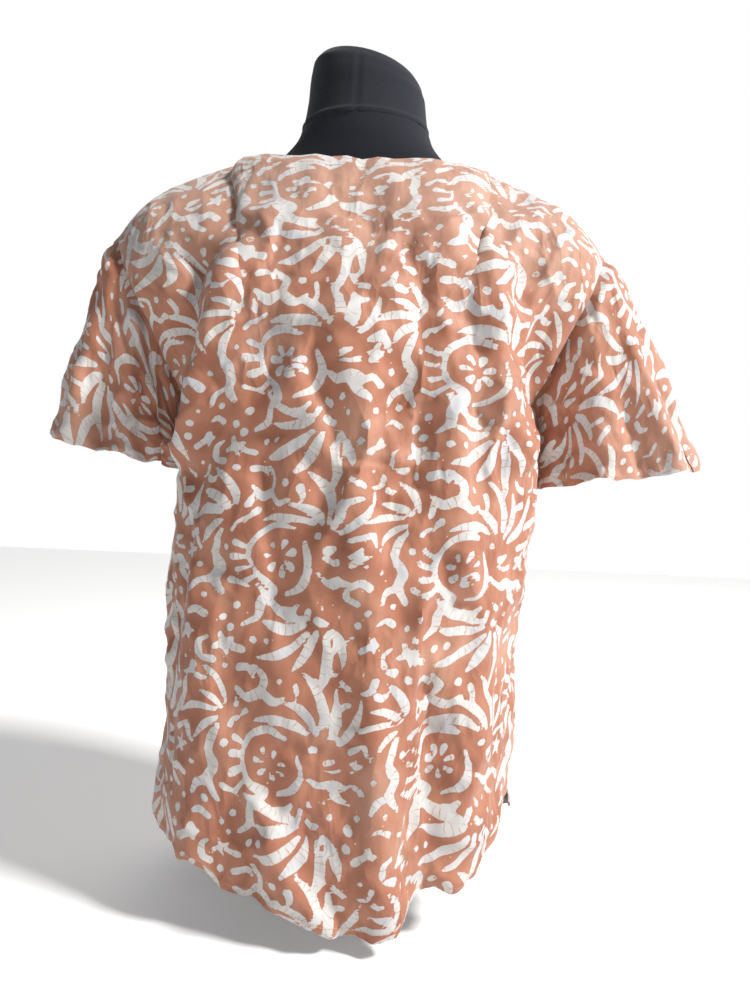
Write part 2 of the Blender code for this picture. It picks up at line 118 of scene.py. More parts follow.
GUIDES_FRONT = table(
    "across lean drop rise swell",
    (0.00, 14.0, 0.060, 0.055, 0.002),
    (0.18, 42.0, 0.074, 0.066, 0.004),
    (0.32, 77.0, 0.085, 0.080, 0.007),
    (0.65, 82.0, 0.088, 0.085, 0.010),
    (1.00, 68.0, 0.070, 0.045, 0.052),
)
Cuff = namedtuple("Cuff", "side tip_x tip_z inner_x inner_z half_depth")
CUFF_LEFT = Cuff(-1, 0.318, 0.455, 0.178, 0.424, 0.046)
CUFF_RIGHT = Cuff(1, 0.364, 0.450, 0.201, 0.422, 0.052)
SLEEVE_BULGE = 0.006
CUFF_CORNER_POWER = 0.8        # 1 is an ellipse
ARMHOLE_PULL = (0.012, 0.010)
ARMHOLE_DROP = 0.022
CUFF_PULL = 0.030              # how far a sleeve runs straight into its cuff at the outer line
CUFF_RISE = (0.020, 0.050)
SLEEVE_PUFF = (0.012, -0.004)  # how far the faces swell near the armhole and near the cuff

# ---- the main folds, placed one by one
FOLDS_BACK = table(
    "x_start z_start x_end z_end half_width height",
    (-0.012, 0.640, 0.006, 0.430, 0.015, 0.010),
    (0.006, 0.430, 0.030, 0.250, 0.015, 0.012),
    (0.030, 0.250, 0.045, 0.020, 0.018, 0.014),
    (0.083, 0.230, 0.087, 0.020, 0.016, -0.012),
    (-0.045, 0.500, 0.012, 0.400, 0.011, 0.008),
    (0.088, 0.490, 0.112, 0.330, 0.012, 0.009),
    (-0.112, 0.610, -0.148, 0.450, 0.018, 0.017),
    (-0.150, 0.620, -0.178, 0.470, 0.018, -0.017),
    (0.122, 0.610, 0.156, 0.450, 0.018, 0.014),
    (0.180, 0.620, 0.180, 0.520, 0.028, -0.014),
    (-0.060, 0.120, -0.010, 0.030, 0.014, 0.010),
    (-0.120, 0.300, -0.128, 0.050, 0.019, 0.009),
    (-0.080, 0.560, -0.060, 0.300, 0.014, -0.007),
    (0.060, 0.600, 0.062, 0.420, 0.013, -0.007),
    (-0.090, 0.250, -0.070, 0.060, 0.014, -0.005),
    (0.130, 0.310, 0.122, 0.110, 0.014, 0.006),
)
FOLDS_FRONT = table(
    "x_start z_start x_end z_end half_width height",
    (-0.020, 0.600, -0.028, 0.060, 0.026, 0.008),
    (0.060, 0.520, 0.085, 0.060, 0.022, -0.008),
    (-0.115, 0.570, -0.145, 0.430, 0.030, 0.008),
    (0.115, 0.570, 0.150, 0.430, 0.030, 0.008),
    (-0.100, 0.330, -0.115, 0.040, 0.022, 0.007),
    (0.135, 0.260, 0.140, 0.080, 0.020, 0.007),
    (-0.070, 0.560, -0.062, 0.200, 0.018, -0.006),
    (0.020, 0.420, 0.030, 0.050, 0.018, 0.006),
    (0.060, 0.640, 0.020, 0.560, 0.014, 0.004),
    (-0.065, 0.640, -0.030, 0.570, 0.014, 0.004),
)
SLEEVE_FOLDS = table(
    "turn half_width height",
    (0.09, 0.026, -0.009),
    (0.16, 0.022, 0.009),
    (0.23, 0.020, -0.008),
    (0.30, 0.024, 0.008),
    (0.39, 0.026, -0.009),
    (0.62, 0.030, -0.007),
    (0.73, 0.030, 0.008),
    (0.86, 0.030, -0.007),
)

# ---- cloth and how finely it is divided
CLOTH_THICKNESS = 0.0008
SEAM_SETBACK = 0.00015
COLUMNS = 88                   # across a panel before the last doubling
ROWS_LOWER = 84
ROWS_UPPER = 44
ROWS_SLEEVE = 42


# ======== small helpers
def ease(value):
    value = np.clip(value, 0.0, 1.0)
    return value * value * (3.0 - 2.0 * value)


def signed_power(value, power):
    return np.sign(value) * np.abs(value) ** power


def unit(vectors):
    return vectors / np.maximum(np.linalg.norm(vectors, axis=-1, keepdims=True), 1e-12)


def read(rows, key, column):
    """Smooth values from a table sorted on its first column."""
    keys = np.array([row[0] for row in rows])
    values = np.array([getattr(row, column) for row in rows])
    last = len(keys) - 1
    before = np.maximum(np.arange(last + 1) - 1, 0)
    after = np.minimum(np.arange(last + 1) + 1, last)
    slopes = (values[after] - values[before]) / (keys[after] - keys[before])
    i = np.clip(np.searchsorted(keys, key, side="right") - 1, 0, last - 1)
    span = keys[i + 1] - keys[i]
    t = np.clip((key - keys[i]) / span, 0.0, 1.0)
    return (
        values[i] * (1 + 2 * t) * (1 - t) ** 2
        + values[i + 1] * t * t * (3 - 2 * t)
        + span * slopes[i] * t * (1 - t) ** 2
        - span * slopes[i + 1] * t * t * (1 - t)
    )


def noise(u, v, size, seed):
    """Smooth noise from -1 to 1 with cells of the given size."""
    x = u / size
    y = v / size
    x0 = np.floor(x).astype(np.int64)
    y0 = np.floor(y).astype(np.int64)
    fx = ease(x - x0)
    fy = ease(y - y0)

    def corner(i, j):
        h = (i * 73856093) ^ (j * 19349663) ^ (seed * 83492791)
        h = (h ^ (h >> 13)) * 1274126177 & 0x7FFFFFFF
        h = (h ^ (h >> 15)) * 668265263 & 0x7FFFFFFF
        return (h % 20011) / 10005.0 - 1.0

    low = corner(x0, y0) * (1 - fx) + corner(x0 + 1, y0) * fx
    high = corner(x0, y0 + 1) * (1 - fx) + corner(x0 + 1, y0 + 1) * fx
    return low * (1 - fy) + high * fy


# ======== the middle surface of the cloth
def ring_point(side, across, height):
    opening = SLIT_HALF_ANGLE * np.clip((SLIT_TOP - height) / SLIT_TOP, 0.0, 1.0)
    angle = across * (math.pi / 2 - opening)
    left = read(GIRTHS, height, "left")
    right = read(GIRTHS, height, "right")
    depth = read(GIRTHS, height, "back" if side < 0 else "front")
    x = np.where(across > 0, right, left) * signed_power(np.sin(angle), 2 / SQUARENESS)
    if side > 0:
        corner = ease((across - FLARE_FROM) / (1 - FLARE_FROM))
        x = x + FRONT_FLARE * corner * ease((SLIT_TOP - height) / FLARE_RISE)
    y = side * depth * np.maximum(np.cos(angle), 0.0) ** (2 / SQUARENESS)
    return np.stack((x, y, height + 0 * x), axis=-1)


def top_point(side, across):
    middle = NECK_BACK if side < 0 else NECK_FRONT
    turn = np.clip(np.abs(across) / NECK_SHARE, 0.0, 1.0) * math.pi / 2
    neck_x = np.sign(across) * NECK_HALF_WIDTH * np.sin(turn)
    neck_y = NECK_SIDE[0] + (middle[0] - NECK_SIDE[0]) * np.cos(turn)
    neck_z = middle[1] + (NECK_SIDE[1] - middle[1]) * np.sin(turn) ** NECK_CURVE_POWER
    seam_x = SHOULDER_TIP[0] * signed_power(np.sin(across * math.pi / 2), 2 / SQUARENESS)
    beyond = (np.abs(seam_x) - NECK_HALF_WIDTH) / (SHOULDER_TIP[0] - NECK_HALF_WIDTH)
    seam_y = NECK_SIDE[0] + (SHOULDER_TIP[1] - NECK_SIDE[0]) * beyond
    seam_z = read(SHOULDER, np.abs(seam_x), "height")
    on_neck = np.abs(across) < NECK_SHARE - 1e-9
    neck = np.stack((neck_x, neck_y, neck_z), axis=-1)
    seam = np.stack((seam_x, seam_y, seam_z), axis=-1)
    return np.where(on_neck[..., None], neck, seam)


def upper_point(side, across, climb):
    guides = GUIDES_BACK if side < 0 else GUIDES_FRONT
    out = np.abs(across)
    lean = np.radians(read(guides, out, "lean"))
    drop = read(guides, out, "drop")
    foot = ring_point(side, across, UNDERARM_HEIGHT)
    top = top_point(side, across)
    spread = np.sign(across) * ARM_SPREAD * out**3
    inward = np.sign(across) * ARM_INWARD * out**3
    low_arm = foot + np.stack((spread, side * read(guides, out, "swell"), read(guides, out, "rise")), axis=-1)
    high_arm = top + np.stack((-inward, side * drop * np.sin(lean), -drop * np.cos(lean)), axis=-1)
    return bezier(foot, low_arm, high_arm, top, climb)


def bezier(p0, p1, p2, p3, t):
    s = 1.0 - t
    return s**3 * p0 + 3 * s * s * t * p1 + 3 * s * t * t * p2 + t**3 * p3


def fold_height(folds, x, z):
    ridge = np.zeros_like(x)
    trough = np.zeros_like(x)
    for fold in folds:
        run_x = fold.x_end - fold.x_start
        run_z = fold.z_end - fold.z_start
        dx = x - fold.x_start
        dz = z - fold.z_start
        share = np.clip((dx * run_x + dz * run_z) / (run_x**2 + run_z**2), 0.0, 1.0)
        away = np.hypot(dx - share * run_x, dz - share * run_z) / fold.half_width
        height = fold.height * np.exp(-away * away)
        ridge = np.maximum(ridge, height)
        trough = np.minimum(trough, height)
    return ridge + trough


def grid_normals(points, closed=False):
    """Unit normals of a grid; a closed one has its first and last columns in one place."""
    along = np.gradient(points, axis=1)
    if closed:
        wrap = points[:, 1] - points[:, -2]
        along[:, 0] = wrap
        along[:, -1] = wrap
    up = np.gradient(points, axis=0)
    return unit(np.cross(up, along))


def quads_of(ids):
    """The faces of a grid of point numbers."""
    return np.stack((ids[:-1, :-1], ids[:-1, 1:], ids[1:, 1:], ids[1:, :-1]), axis=-1).reshape(-1, 4)


def welded(grids):
    """All points in one list, the first of those at each place, and each one's place."""
    flat = np.vstack([g.reshape(-1, 3) for g in grids])
    _, first, index = np.unique(np.round(flat, 5), axis=0, return_index=True, return_inverse=True)
    return flat, first, index.reshape(-1)


def welded_normals(index, normals):
    """One normal at each place, from those of all the grids."""
    total = np.zeros((index.max() + 1, 3))
    np.add.at(total, index, np.vstack([n.reshape(-1, 3) for n in normals]))
    return unit(total)


def split_up(values, grids):
    """One list of values for all points, cut up again into the grids."""
    ends = np.cumsum([g.shape[0] * g.shape[1] for g in grids])[:-1]
    return [part.reshape(g.shape[:2] + part.shape[1:]) for part, g in zip(np.split(values, ends), grids)]


def linked(name, data):
    """A new object with this data, in the scene."""
    thing = bpy.data.objects.new(name, data)
    bpy.context.scene.collection.objects.link(thing)
    return thing


NECK_STEP = round(NECK_SHARE * COLUMNS / 2)    # columns from centre to the neck's side


def panel_columns():
    """Even columns, slightly shifted so that one falls where neck and shoulder meet."""
    half = COLUMNS // 2
    steps = np.arange(-half, half + 1)
    return np.interp(steps, (-half, -NECK_STEP, 0, NECK_STEP, half), (-1, -NECK_SHARE, 0, NECK_SHARE, 1))


def body_grid(side):
    """Rows of points from the hem up to the neck and shoulder seams."""
    across = panel_columns()
    low = read(HEM_BACK if side < 0 else HEM_FRONT, across, "height")
    rows = []
    fades = []
    edge = ease((1 - np.abs(across)) / FOLD_FADE_SIDE)
    for step in range(ROWS_LOWER + 1):
        rows.append(ring_point(side, across, low + (UNDERARM_HEIGHT - low) * step / ROWS_LOWER))
        fades.append(edge)
    for step in range(1, ROWS_UPPER + 1):
        climb = step / ROWS_UPPER
        rows.append(upper_point(side, across, climb))
        fades.append(edge * ease((1 - climb) / FOLD_FADE_TOP))
    points = np.array(rows)
    lift = np.array(fades)
    height = fold_height(FOLDS_BACK if side < 0 else FOLDS_FRONT, points[..., 0], points[..., 2])
    return points + grid_normals(points) * side * (height * lift)[..., None]


def sleeve_grid(cuff, back, front):
    """Rings from the armhole to the cuff: from the underarm up the back and down the front."""
    column = -1 if cuff.side > 0 else 0
    armhole = np.vstack((back[ROWS_LOWER:, column], front[ROWS_LOWER:, column][::-1][1:]))
    count = len(armhole) - 1
    turn = (0.5 - np.arange(count + 1) / count) % 1.0          # 0 at the shoulder, over the back to 0.5
    turn[-1] = 0.5
    over = np.cos(2 * math.pi * turn)
    reach = (0.5 + 0.5 * over)[:, None]
    face = -np.sin(2 * math.pi * turn)[:, None]
    x = cuff.side * (cuff.inner_x + (cuff.tip_x - cuff.inner_x) * reach)
    z = cuff.inner_z + (cuff.tip_z - cuff.inner_z) * reach
    end = np.hstack((x, cuff.half_depth * signed_power(face, CUFF_CORNER_POWER), z))
    outward = np.array((cuff.side, 0.0, 0.0))
    zero = np.zeros_like(reach)
    pull = outward * (ARMHOLE_PULL[0] + ARMHOLE_PULL[1] * (1 - reach))
    rise = CUFF_RISE[0] + CUFF_RISE[1] * reach
    first = armhole + pull + np.hstack((zero, SLEEVE_PUFF[0] * face, -ARMHOLE_DROP * reach))
    last = end - outward * CUFF_PULL * reach + np.hstack((zero, SLEEVE_PUFF[1] * face, rise))
    rings = []
    for step in range(ROWS_SLEEVE + 1):
        share = step / ROWS_SLEEVE
        ring = bezier(armhole, first, last, end, share)
        rings.append(ring + outward * SLEEVE_BULGE * reach * math.sin(math.pi * share))
    points = np.array(rings)
    height = np.zeros(count + 1)
    position = np.arange(count + 1) / count
    for fold in SLEEVE_FOLDS:
        place = (0.5 - fold.turn) % 1.0
        height += fold.height * np.exp(-(((position - place) / fold.half_width) ** 2))
    share = ease(np.arange(ROWS_SLEEVE + 1) / ROWS_SLEEVE)[:, None]
    return points + grid_normals(points, closed=True) * cuff.side * (height[None, :] * share)[..., None]


# ======== wrinkles: the cloth grows a little and buckles
GROW_FRAMES = 24
GROW_LEAST = 0.012
GROW_MOST = 0.062
BUCKLE_CAP = 0.009             # no point moves further than this
GIRTH_RADIUS = 0.16            # turns an angle round the body into a length
STEEPNESS = 2.6                # wrinkles are steep: their pattern is drawn out this much along the height


def settle(grids, signs):
    """One cloth, welded along its seams, grows unevenly and settles; returns each grid's moves."""
    flat, first, index = welded(grids)
    points = flat[first]
    normals = welded_normals(index, [grid_normals(grid) * sign for grid, sign in zip(grids, signs)])
    quads = np.vstack([quads_of(ids) for ids in split_up(index, grids)])
    x, y, z = points.T
    around = np.arctan2(x, -y) * GIRTH_RADIUS
    slack = STEEPNESS * around
    bump = 0.0012 * noise(slack, z, 0.036, 11) + 0.0022 * noise(slack + 0.6 * z, z - 0.5 * around, 0.075, 12)
    start = points + normals * bump[:, None]
    mesh = bpy.data.meshes.new("settling")
    mesh.from_pydata(start.tolist(), [], quads.tolist())
    thing = linked("settling", mesh)
    on_form = ease((z - 0.66) / 0.05)
    hold = 0.024 + 0.22 * on_form + 0.012 * noise(slack, z, 0.14, 13)
    growth = 0.5 + 0.5 * noise(slack, z, 0.11, 14) + 0.35 * noise(around, z, 0.13, 15)
    for name, weights in (("hold", hold), ("growth", growth)):
        group = thing.vertex_groups.new(name=name)
        for i, weight in enumerate(np.clip(weights, 0.0, 1.0)):
            group.add((i,), float(weight), "REPLACE")
    cloth = thing.modifiers.new("Cloth", "CLOTH")
    cloth.collision_settings.use_collision = False
    stuff = cloth.settings
    stuff.quality = 4
    stuff.mass = 0.15
    stuff.air_damping = 1.0
    stuff.tension_stiffness = 20
    stuff.compression_stiffness = 20
    stuff.shear_stiffness = 8
    stuff.bending_stiffness = 0.25
    stuff.vertex_group_mass = "hold"
    stuff.pin_stiffness = 1.0
    stuff.vertex_group_shrink = "growth"
    stuff.shrink_min = -GROW_LEAST
    stuff.shrink_max = -GROW_MOST
    stuff.effector_weights.gravity = 0.0
    scene = bpy.context.scene
    scene.frame_start = 1
    scene.frame_end = GROW_FRAMES
    cloth.point_cache.frame_start = 1
    cloth.point_cache.frame_end = GROW_FRAMES
    for number in range(1, GROW_FRAMES + 1):
        scene.frame_set(number)
    settled = thing.evaluated_get(bpy.context.evaluated_depsgraph_get())
    found = np.empty(len(points) * 3)
    settled.data.vertices.foreach_get("co", found)
    scene.frame_set(1)
    bpy.data.objects.remove(thing, do_unlink=True)
    moves = found.reshape(-1, 3) - points
    length = np.linalg.norm(moves, axis=1, keepdims=True)
    moves *= np.tanh(length / BUCKLE_CAP) * BUCKLE_CAP / np.maximum(length, 1e-9)
    return split_up(moves[index], grids)


def doubled(grid, axis, closed=False):
    """Twice as many steps along one axis, with new points on a smooth curve through the old ones."""
    g = np.moveaxis(grid, axis, 0)
    if closed:
        padded = np.concatenate((g[-2:-1], g, g[1:2]))
    else:
        padded = np.concatenate((2 * g[:1] - g[1:2], g, 2 * g[-1:] - g[-2:-1]))
    middle = (9 * (padded[1:-2] + padded[2:-1]) - padded[:-3] - padded[3:]) / 16
    fine = np.empty((2 * len(g) - 1,) + g.shape[1:])
    fine[0::2] = g
    fine[1::2] = middle
    return np.moveaxis(fine, 0, axis)


# ---- the form inside, which the cloth stays clear of
TORSO_RINGS = table(
    "height half_width back front",
    (0.100, 0.146, 0.098, 0.090),
    (0.108, 0.152, 0.104, 0.096),
    (0.200, 0.156, 0.108, 0.098),
    (0.280, 0.143, 0.096, 0.090),
    (0.370, 0.122, 0.084, 0.082),
    (0.470, 0.137, 0.096, 0.096),
    (0.560, 0.154, 0.106, 0.106),
    (0.630, 0.166, 0.098, 0.090),
    (0.675, 0.176, 0.078, 0.068),
    (0.698, 0.171, 0.062, 0.053),
    (0.715, 0.152, 0.050, 0.046),
    (0.730, 0.125, 0.045, 0.036),
    (0.745, 0.101, 0.045, 0.037),
    (0.760, 0.084, 0.047, 0.044),
    (0.773, 0.073, 0.050, 0.048),
    (0.788, 0.0670, 0.052, 0.050),
)
FORM_CLEARANCE = 0.0016


def clear_of_form(points):
    """Push any point that has come too close to the form straight out from its axis."""
    x, y, z = points[..., 0], points[..., 1], points[..., 2]
    half = read(TORSO_RINGS, z, "half_width")
    depth = np.where(y < 0, read(TORSO_RINGS, z, "back"), read(TORSO_RINGS, z, "front"))
    radius = np.maximum(np.hypot(x, y), 1e-6)
    level = np.hypot(x / half, y / depth)
    surface = radius / np.maximum(level, 1e-6)
    short = np.maximum(surface + FORM_CLEARANCE - radius, 0.0)
    short = np.where((z > 0.10) & (level > 0.2), short, 0.0)
    moved = points.copy()
    moved[..., 0] += x / radius * short
    moved[..., 1] += y / radius * short
    return moved


# ---- press lines and small creases
Crease = namedtuple("Crease", "x y angle length width height")
# Sharp creases of the back, placed one by one: centre across and up from the underarm line, angle from level.
CREASES_BACK = (
    Crease(-0.060, 0.175, 62, 0.110, 0.0050, 0.0026),
    Crease(-0.030, 0.150, 118, 0.090, 0.0050, -0.0024),
    Crease(-0.085, 0.130, 80, 0.080, 0.0045, 0.0022),
    Crease(0.012, 0.190, 90, 0.090, 0.0030, 0.0016),
    Crease(0.070, 0.152, 2, 0.150, 0.0030, -0.0014),
    Crease(-0.150, 0.148, -3, 0.060, 0.0030, -0.0013),
    Crease(0.118, 0.185, -48, 0.100, 0.0055, 0.0028),
    Crease(0.150, 0.170, -42, 0.070, 0.0050, -0.0022),
    Crease(0.095, 0.120, -60, 0.070, 0.0045, 0.0020),
    Crease(-0.022, 0.050, -54, 0.110, 0.0045, 0.0026),
    Crease(0.095, 0.020, 105, 0.120, 0.0045, 0.0026),
    Crease(0.130, 0.060, 78, 0.090, 0.0045, 0.0022),
    Crease(-0.030, -0.440, -60, 0.100, 0.0050, 0.0026),
    Crease(0.020, -0.390, 72, 0.120, 0.0050, 0.0024),
    Crease(0.100, -0.130, 70, 0.080, 0.0045, 0.0026),
    Crease(0.125, -0.170, 115, 0.070, 0.0045, 0.0024),
    Crease(0.090, -0.190, 95, 0.080, 0.0045, -0.0022),
    Crease(0.115, -0.235, 60, 0.060, 0.0045, 0.0024),
    Crease(0.130, -0.290, 100, 0.090, 0.0045, 0.0026),
    Crease(0.105, -0.330, 40, 0.060, 0.0045, -0.0022),
    Crease(0.145, -0.350, 82, 0.080, 0.0040, 0.0022),
    Crease(-0.110, -0.080, 84, 0.160, 0.0045, 0.0020),
    Crease(-0.140, -0.200, 96, 0.140, 0.0045, 0.0022),
    Crease(-0.070, -0.260, 100, 0.130, 0.0045, -0.0018),
    Crease(0.010, -0.230, 86, 0.160, 0.0040, 0.0020),
    Crease(0.050, -0.100, 80, 0.120, 0.0040, -0.0018),
)


# Layers of crumpling: the ridges' lean from upright in degrees, their spacing, how drawn out, their height.
RIDGES = (
    (-14, 0.036, 2.6, 0.0086),
    (20, 0.025, 2.2, 0.0056),
    (-38, 0.022, 1.6, 0.0034),
    (78, 0.030, 2.4, 0.0022),
    (6, 0.011, 2.0, 0.0012),
)
RIDGE_SOFTNESS = 0.0006


def scattered_creases(seed, count, low, high):
    """Small creases, most of them steep, uneven in length, depth and spacing."""
    draw = np.random.default_rng(seed)
    found = []
    for _ in range(count):
        x = draw.uniform(low[0], high[0])
        y = draw.uniform(low[1], high[1])
        angle = draw.normal(90, 38) if draw.random() < 0.7 else draw.uniform(0, 180)
        length = draw.uniform(0.014, 0.075)
        width = draw.uniform(0.0028, 0.0056)
        height = draw.uniform(0.0008, 0.0028) * draw.choice((-1, 1), p=(0.4, 0.6))
        found.append(Crease(x, y, angle, length, width, height))
    return found


def crease_height(flat, creases):
    """Sharp on top and soft on the flanks, fading out at both ends."""
    total = np.zeros(flat.shape[:2])
    bend = 0.004 * noise(flat[..., 0], flat[..., 1], 0.022, 21)
    for crease in creases:
        angle = math.radians(crease.angle)
        dx = flat[..., 0] - crease.x
        dy = flat[..., 1] - crease.y
        along = dx * math.cos(angle) + dy * math.sin(angle)
        near = np.abs(along) < crease.length * 0.6
        across = (dy * math.cos(angle) - dx * math.sin(angle))[near] + bend[near]
        fade = np.clip(1 - (along[near] / (0.6 * crease.length)) ** 2, 0.0, 1.0)
        total[near] += crease.height * fade * np.exp(-np.abs(across) / crease.width)
    return total


def crumple(flat, seed):
    """Crisp crooked ridges between soft hollows, mostly steep, in several sizes."""
    u = flat[..., 0]
    v = flat[..., 1]
    total = np.zeros(u.shape)
    for k, (angle, length, stretch, height) in enumerate(RIDGES):
        turn = math.radians(angle)
        bent = 0.012 * noise(u, v, 0.050, seed + 5 * k)
        across = u * math.cos(turn) + v * math.sin(turn) + bent
        along = (v * math.cos(turn) - u * math.sin(turn)) / stretch
        ridge = 0.55 - np.sqrt(noise(across, along, length, seed + 5 * k + 1) ** 2 + RIDGE_SOFTNESS)
        strength = np.clip(0.75 + 0.9 * noise(u, v, 0.085, seed + 5 * k + 2), 0.15, 1.5)
        total += height * ridge * strength
    return total


# ======== the print: one repeat, charted
REPEAT = (0.172, 0.178)
CHART_STEP = 0.00075
# The design is drawn afresh from its kinds of motif: a framed flower with rungs, plumes of crescents, twigs
# and stars. Each stroke is a run of (across, up, radius) in millimetres from the middle of the flower.
STROKES = (
    ((15, 26, 2.4), (-3, 30, 4.4), (-21, 21, 3.6), (-28, 3, 3.0), (-23, -15, 3.8), (-9, -27, 4.8)),
    ((4, -30, 2.6), (19, -23, 4.4), (28, -6, 3.8), (25, 12, 2.4)),
    ((-9, -30, 4.4), (-20, -40, 5.4), (-22, -54, 4.6), (-33, -62, 3.0)),
    ((-66, 6, 3.0), (-58, -8, 4.8), (-64, -22, 5.0), (-56, -35, 3.4)),
    ((-64, -22, 4.0), (-76, -28, 3.6), (-81, -38, 2.4)),
    ((34, -10, 2.8), (44, -17, 4.6), (56, -13, 4.8), (68, -19, 2.8)),
    ((56, -13, 3.6), (60, -26, 4.2), (72, -34, 2.6)),
    ((-36, 62, 2.6), (-24, 55, 4.6), (-12, 60, 4.8), (0, 53, 4.2), (10, 58, 2.6)),
    ((-12, 60, 3.6), (-9, 73, 4.2), (-18, 82, 2.8)),
)
RUNG_TURNS = (158, 177, 196, 214)
RUNG_RUN = ((32, 3.0), (43, 3.9))
PLUMES = table(
    "across up first last count reach bend radius",
    (36, -50, 190, 334, 6, 66, -32, 5.8),
    (42, 20, 6, 126, 5, 62, 40, 5.6),
    (-46, 36, 84, 214, 5, 48, 34, 4.8),
)
CRESCENT = ((0.24, 0.44), (0.48, 0.84), (0.76, 0.80), (1.0, 0.34))    # shares of the reach and of the radius
SHORT_CRESCENT = 0.80          # every second one is shorter
STARS = table(
    "across up arms reach turn radius",
    (-50, -78, 4, 9, 20, 3.4),
    (76, 4, 5, 8, 8, 3.0),
    (12, -44, 3, 8, 50, 3.4),
)
STAR_TAPER = 0.8
PETALS = 7
PETAL_TURN = 0.3
PETAL_RUN = ((6.8, 2.0), (13.8, 3.9))
FILL_MOST = 90
FILL_GAP = 7.6                 # bare ground wider than this, from edge to middle, takes a dot
FILL_MARGIN = 3.3
FILL_RADIUS = 4.4
FILL_REACHES = (0.3, 1.2, 2.4)    # dots, drops and commas, in radii
FILL_TAPER = (0.8, 0.5)
DRIFT = 0.0042                 # how far the repeats are bent out of line, so that no two are the same
DRIFT_SIZE = 0.046
EDGE_INSET = 0.0006


def polar(middle, distance, angle):
    return middle[0] + distance * math.cos(angle), middle[1] + distance * math.sin(angle)


def spoke(angle, run):
    """A straight stroke out from the flower's middle."""
    return [(*polar((0, 0), distance, angle), radius) for distance, radius in run]


def motif_strokes():
    """Every stroke of one repeat: those charted one by one, then rungs, plumes, stars and petals."""
    strokes = list(STROKES)
    strokes += [spoke(math.radians(turn), RUNG_RUN) for turn in RUNG_TURNS]
    for plume in PLUMES:
        root = (plume.across, plume.up)
        for k in range(plume.count):
            turn = plume.first + (plume.last - plume.first) * k / (plume.count - 1)
            reach = plume.reach * (1.0 if k % 2 == 0 else SHORT_CRESCENT)
            strokes.append([
                (*polar(root, share * reach, math.radians(turn + plume.bend * share)), size * plume.radius)
                for share, size in CRESCENT
            ])
    for star in STARS:
        middle = (star.across, star.up)
        for k in range(star.arms):
            tip = polar(middle, star.reach, math.radians(star.turn + 360 * k / star.arms))
            strokes.append([(*middle, star.radius), (*tip, star.radius * STAR_TAPER)])
    strokes += [spoke(2 * math.pi * (k + PETAL_TURN) / PETALS, PETAL_RUN) for k in range(PETALS)]
    return strokes


def smooth_run(stroke):
    """A stroke as a fine run on a smooth curve through its points, in metres."""
    points = np.array(stroke, float) / 1000.0
    padded = np.vstack((2 * points[0] - points[1], points, 2 * points[-1] - points[-2]))
    run = []
    for i in range(1, len(padded) - 2):
        a, b, c, d = padded[i - 1:i + 3]
        for t in np.linspace(0, 1, 6, endpoint=False):
            square = (2 * a - 5 * b + 4 * c - d) * t**2
            cube = (3 * b - a - 3 * c + d) * t**3
            run.append(0.5 * (2 * b + (c - a) * t + square + cube))
    run.append(points[-1])
    return np.array(run)


def draw_run(field, run, grid_u, grid_v):
    """Lay one stroke on the chart: keep the depth inside it and the distance along it."""
    width, height = REPEAT
    travelled = 0.0
    for a, b in zip(run[:-1], run[1:]):
        du = (grid_u - a[0] + width / 2) % width - width / 2
        dv = (grid_v - a[1] + height / 2) % height - height / 2
        step = b[:2] - a[:2]
        length = max(float(step @ step), 1e-12)
        share = np.clip((du * step[0] + dv * step[1]) / length, 0.0, 1.0)
        inside = a[2] + (b[2] - a[2]) * share - np.hypot(du - share * step[0], dv - share * step[1])
        better = inside > field["depth"]
        field["depth"][better] = inside[better]
        field["along"][better] = (travelled + share * math.sqrt(length))[better]
        travelled += math.sqrt(length)


def chart_print():
    """One repeat: how deep inside a stroke each place is, and how far along it."""
    columns = round(REPEAT[0] / CHART_STEP)
    rows = round(REPEAT[1] / CHART_STEP)
    u = np.arange(columns) * REPEAT[0] / columns
    v = np.arange(rows) * REPEAT[1] / rows
    grid_u, grid_v = np.meshgrid(u, v)
    field = {"depth": np.full(grid_u.shape, -1.0), "along": np.zeros(grid_u.shape)}
    for stroke in motif_strokes():
        draw_run(field, smooth_run(stroke), grid_u, grid_v)
    draw = np.random.default_rng(5)
    for _ in range(FILL_MOST):
        spot = np.unravel_index(np.argmin(field["depth"]), field["depth"].shape)
        bare = -field["depth"][spot] * 1000
        if bare < FILL_GAP:
            break
        middle = (grid_u[spot] * 1000, grid_v[spot] * 1000)
        radius = min(FILL_RADIUS, bare - FILL_MARGIN) * draw.uniform(0.75, 1.0)
        turn = draw.uniform(0, 2 * math.pi)
        reach = draw.choice(FILL_REACHES) * radius
        half = polar(middle, reach, turn)
        tail = polar(half, reach, turn + draw.uniform(-0.9, 0.9))
        stroke = ((*middle, radius), (*half, radius * FILL_TAPER[0]), (*tail, radius * FILL_TAPER[1]))
        draw_run(field, smooth_run(stroke), grid_u, grid_v)
    return field


def print_at(field, flat, origin, seed):
    """Depth inside the motif and distance along its strokes at each point of a laid-out panel."""
    across, up = flat[..., 0], flat[..., 1]
    u = across - origin[0] + DRIFT * noise(across, up, DRIFT_SIZE, seed)
    v = up - origin[1] + DRIFT * noise(across, up, DRIFT_SIZE, seed + 1)
    rows, columns = field["depth"].shape
    x = (u / REPEAT[0] * columns) % columns
    y = (v / REPEAT[1] * rows) % rows
    x0 = np.floor(x).astype(int) % columns
    y0 = np.floor(y).astype(int) % rows
    x1 = (x0 + 1) % columns
    y1 = (y0 + 1) % rows
    fx = x - np.floor(x)
    fy = y - np.floor(y)
    depth = field["depth"]
    low = depth[y0, x0] * (1 - fx) + depth[y0, x1] * fx
    high = depth[y1, x0] * (1 - fx) + depth[y1, x1] * fx
    wobble = 0.0005 * noise(across, up, 0.006, seed + 2)
    wobble = wobble + 0.0009 * noise(across, up, 0.021, seed + 5) - EDGE_INSET
    return low * (1 - fy) + high * fy + wobble, field["along"][y0, x0]


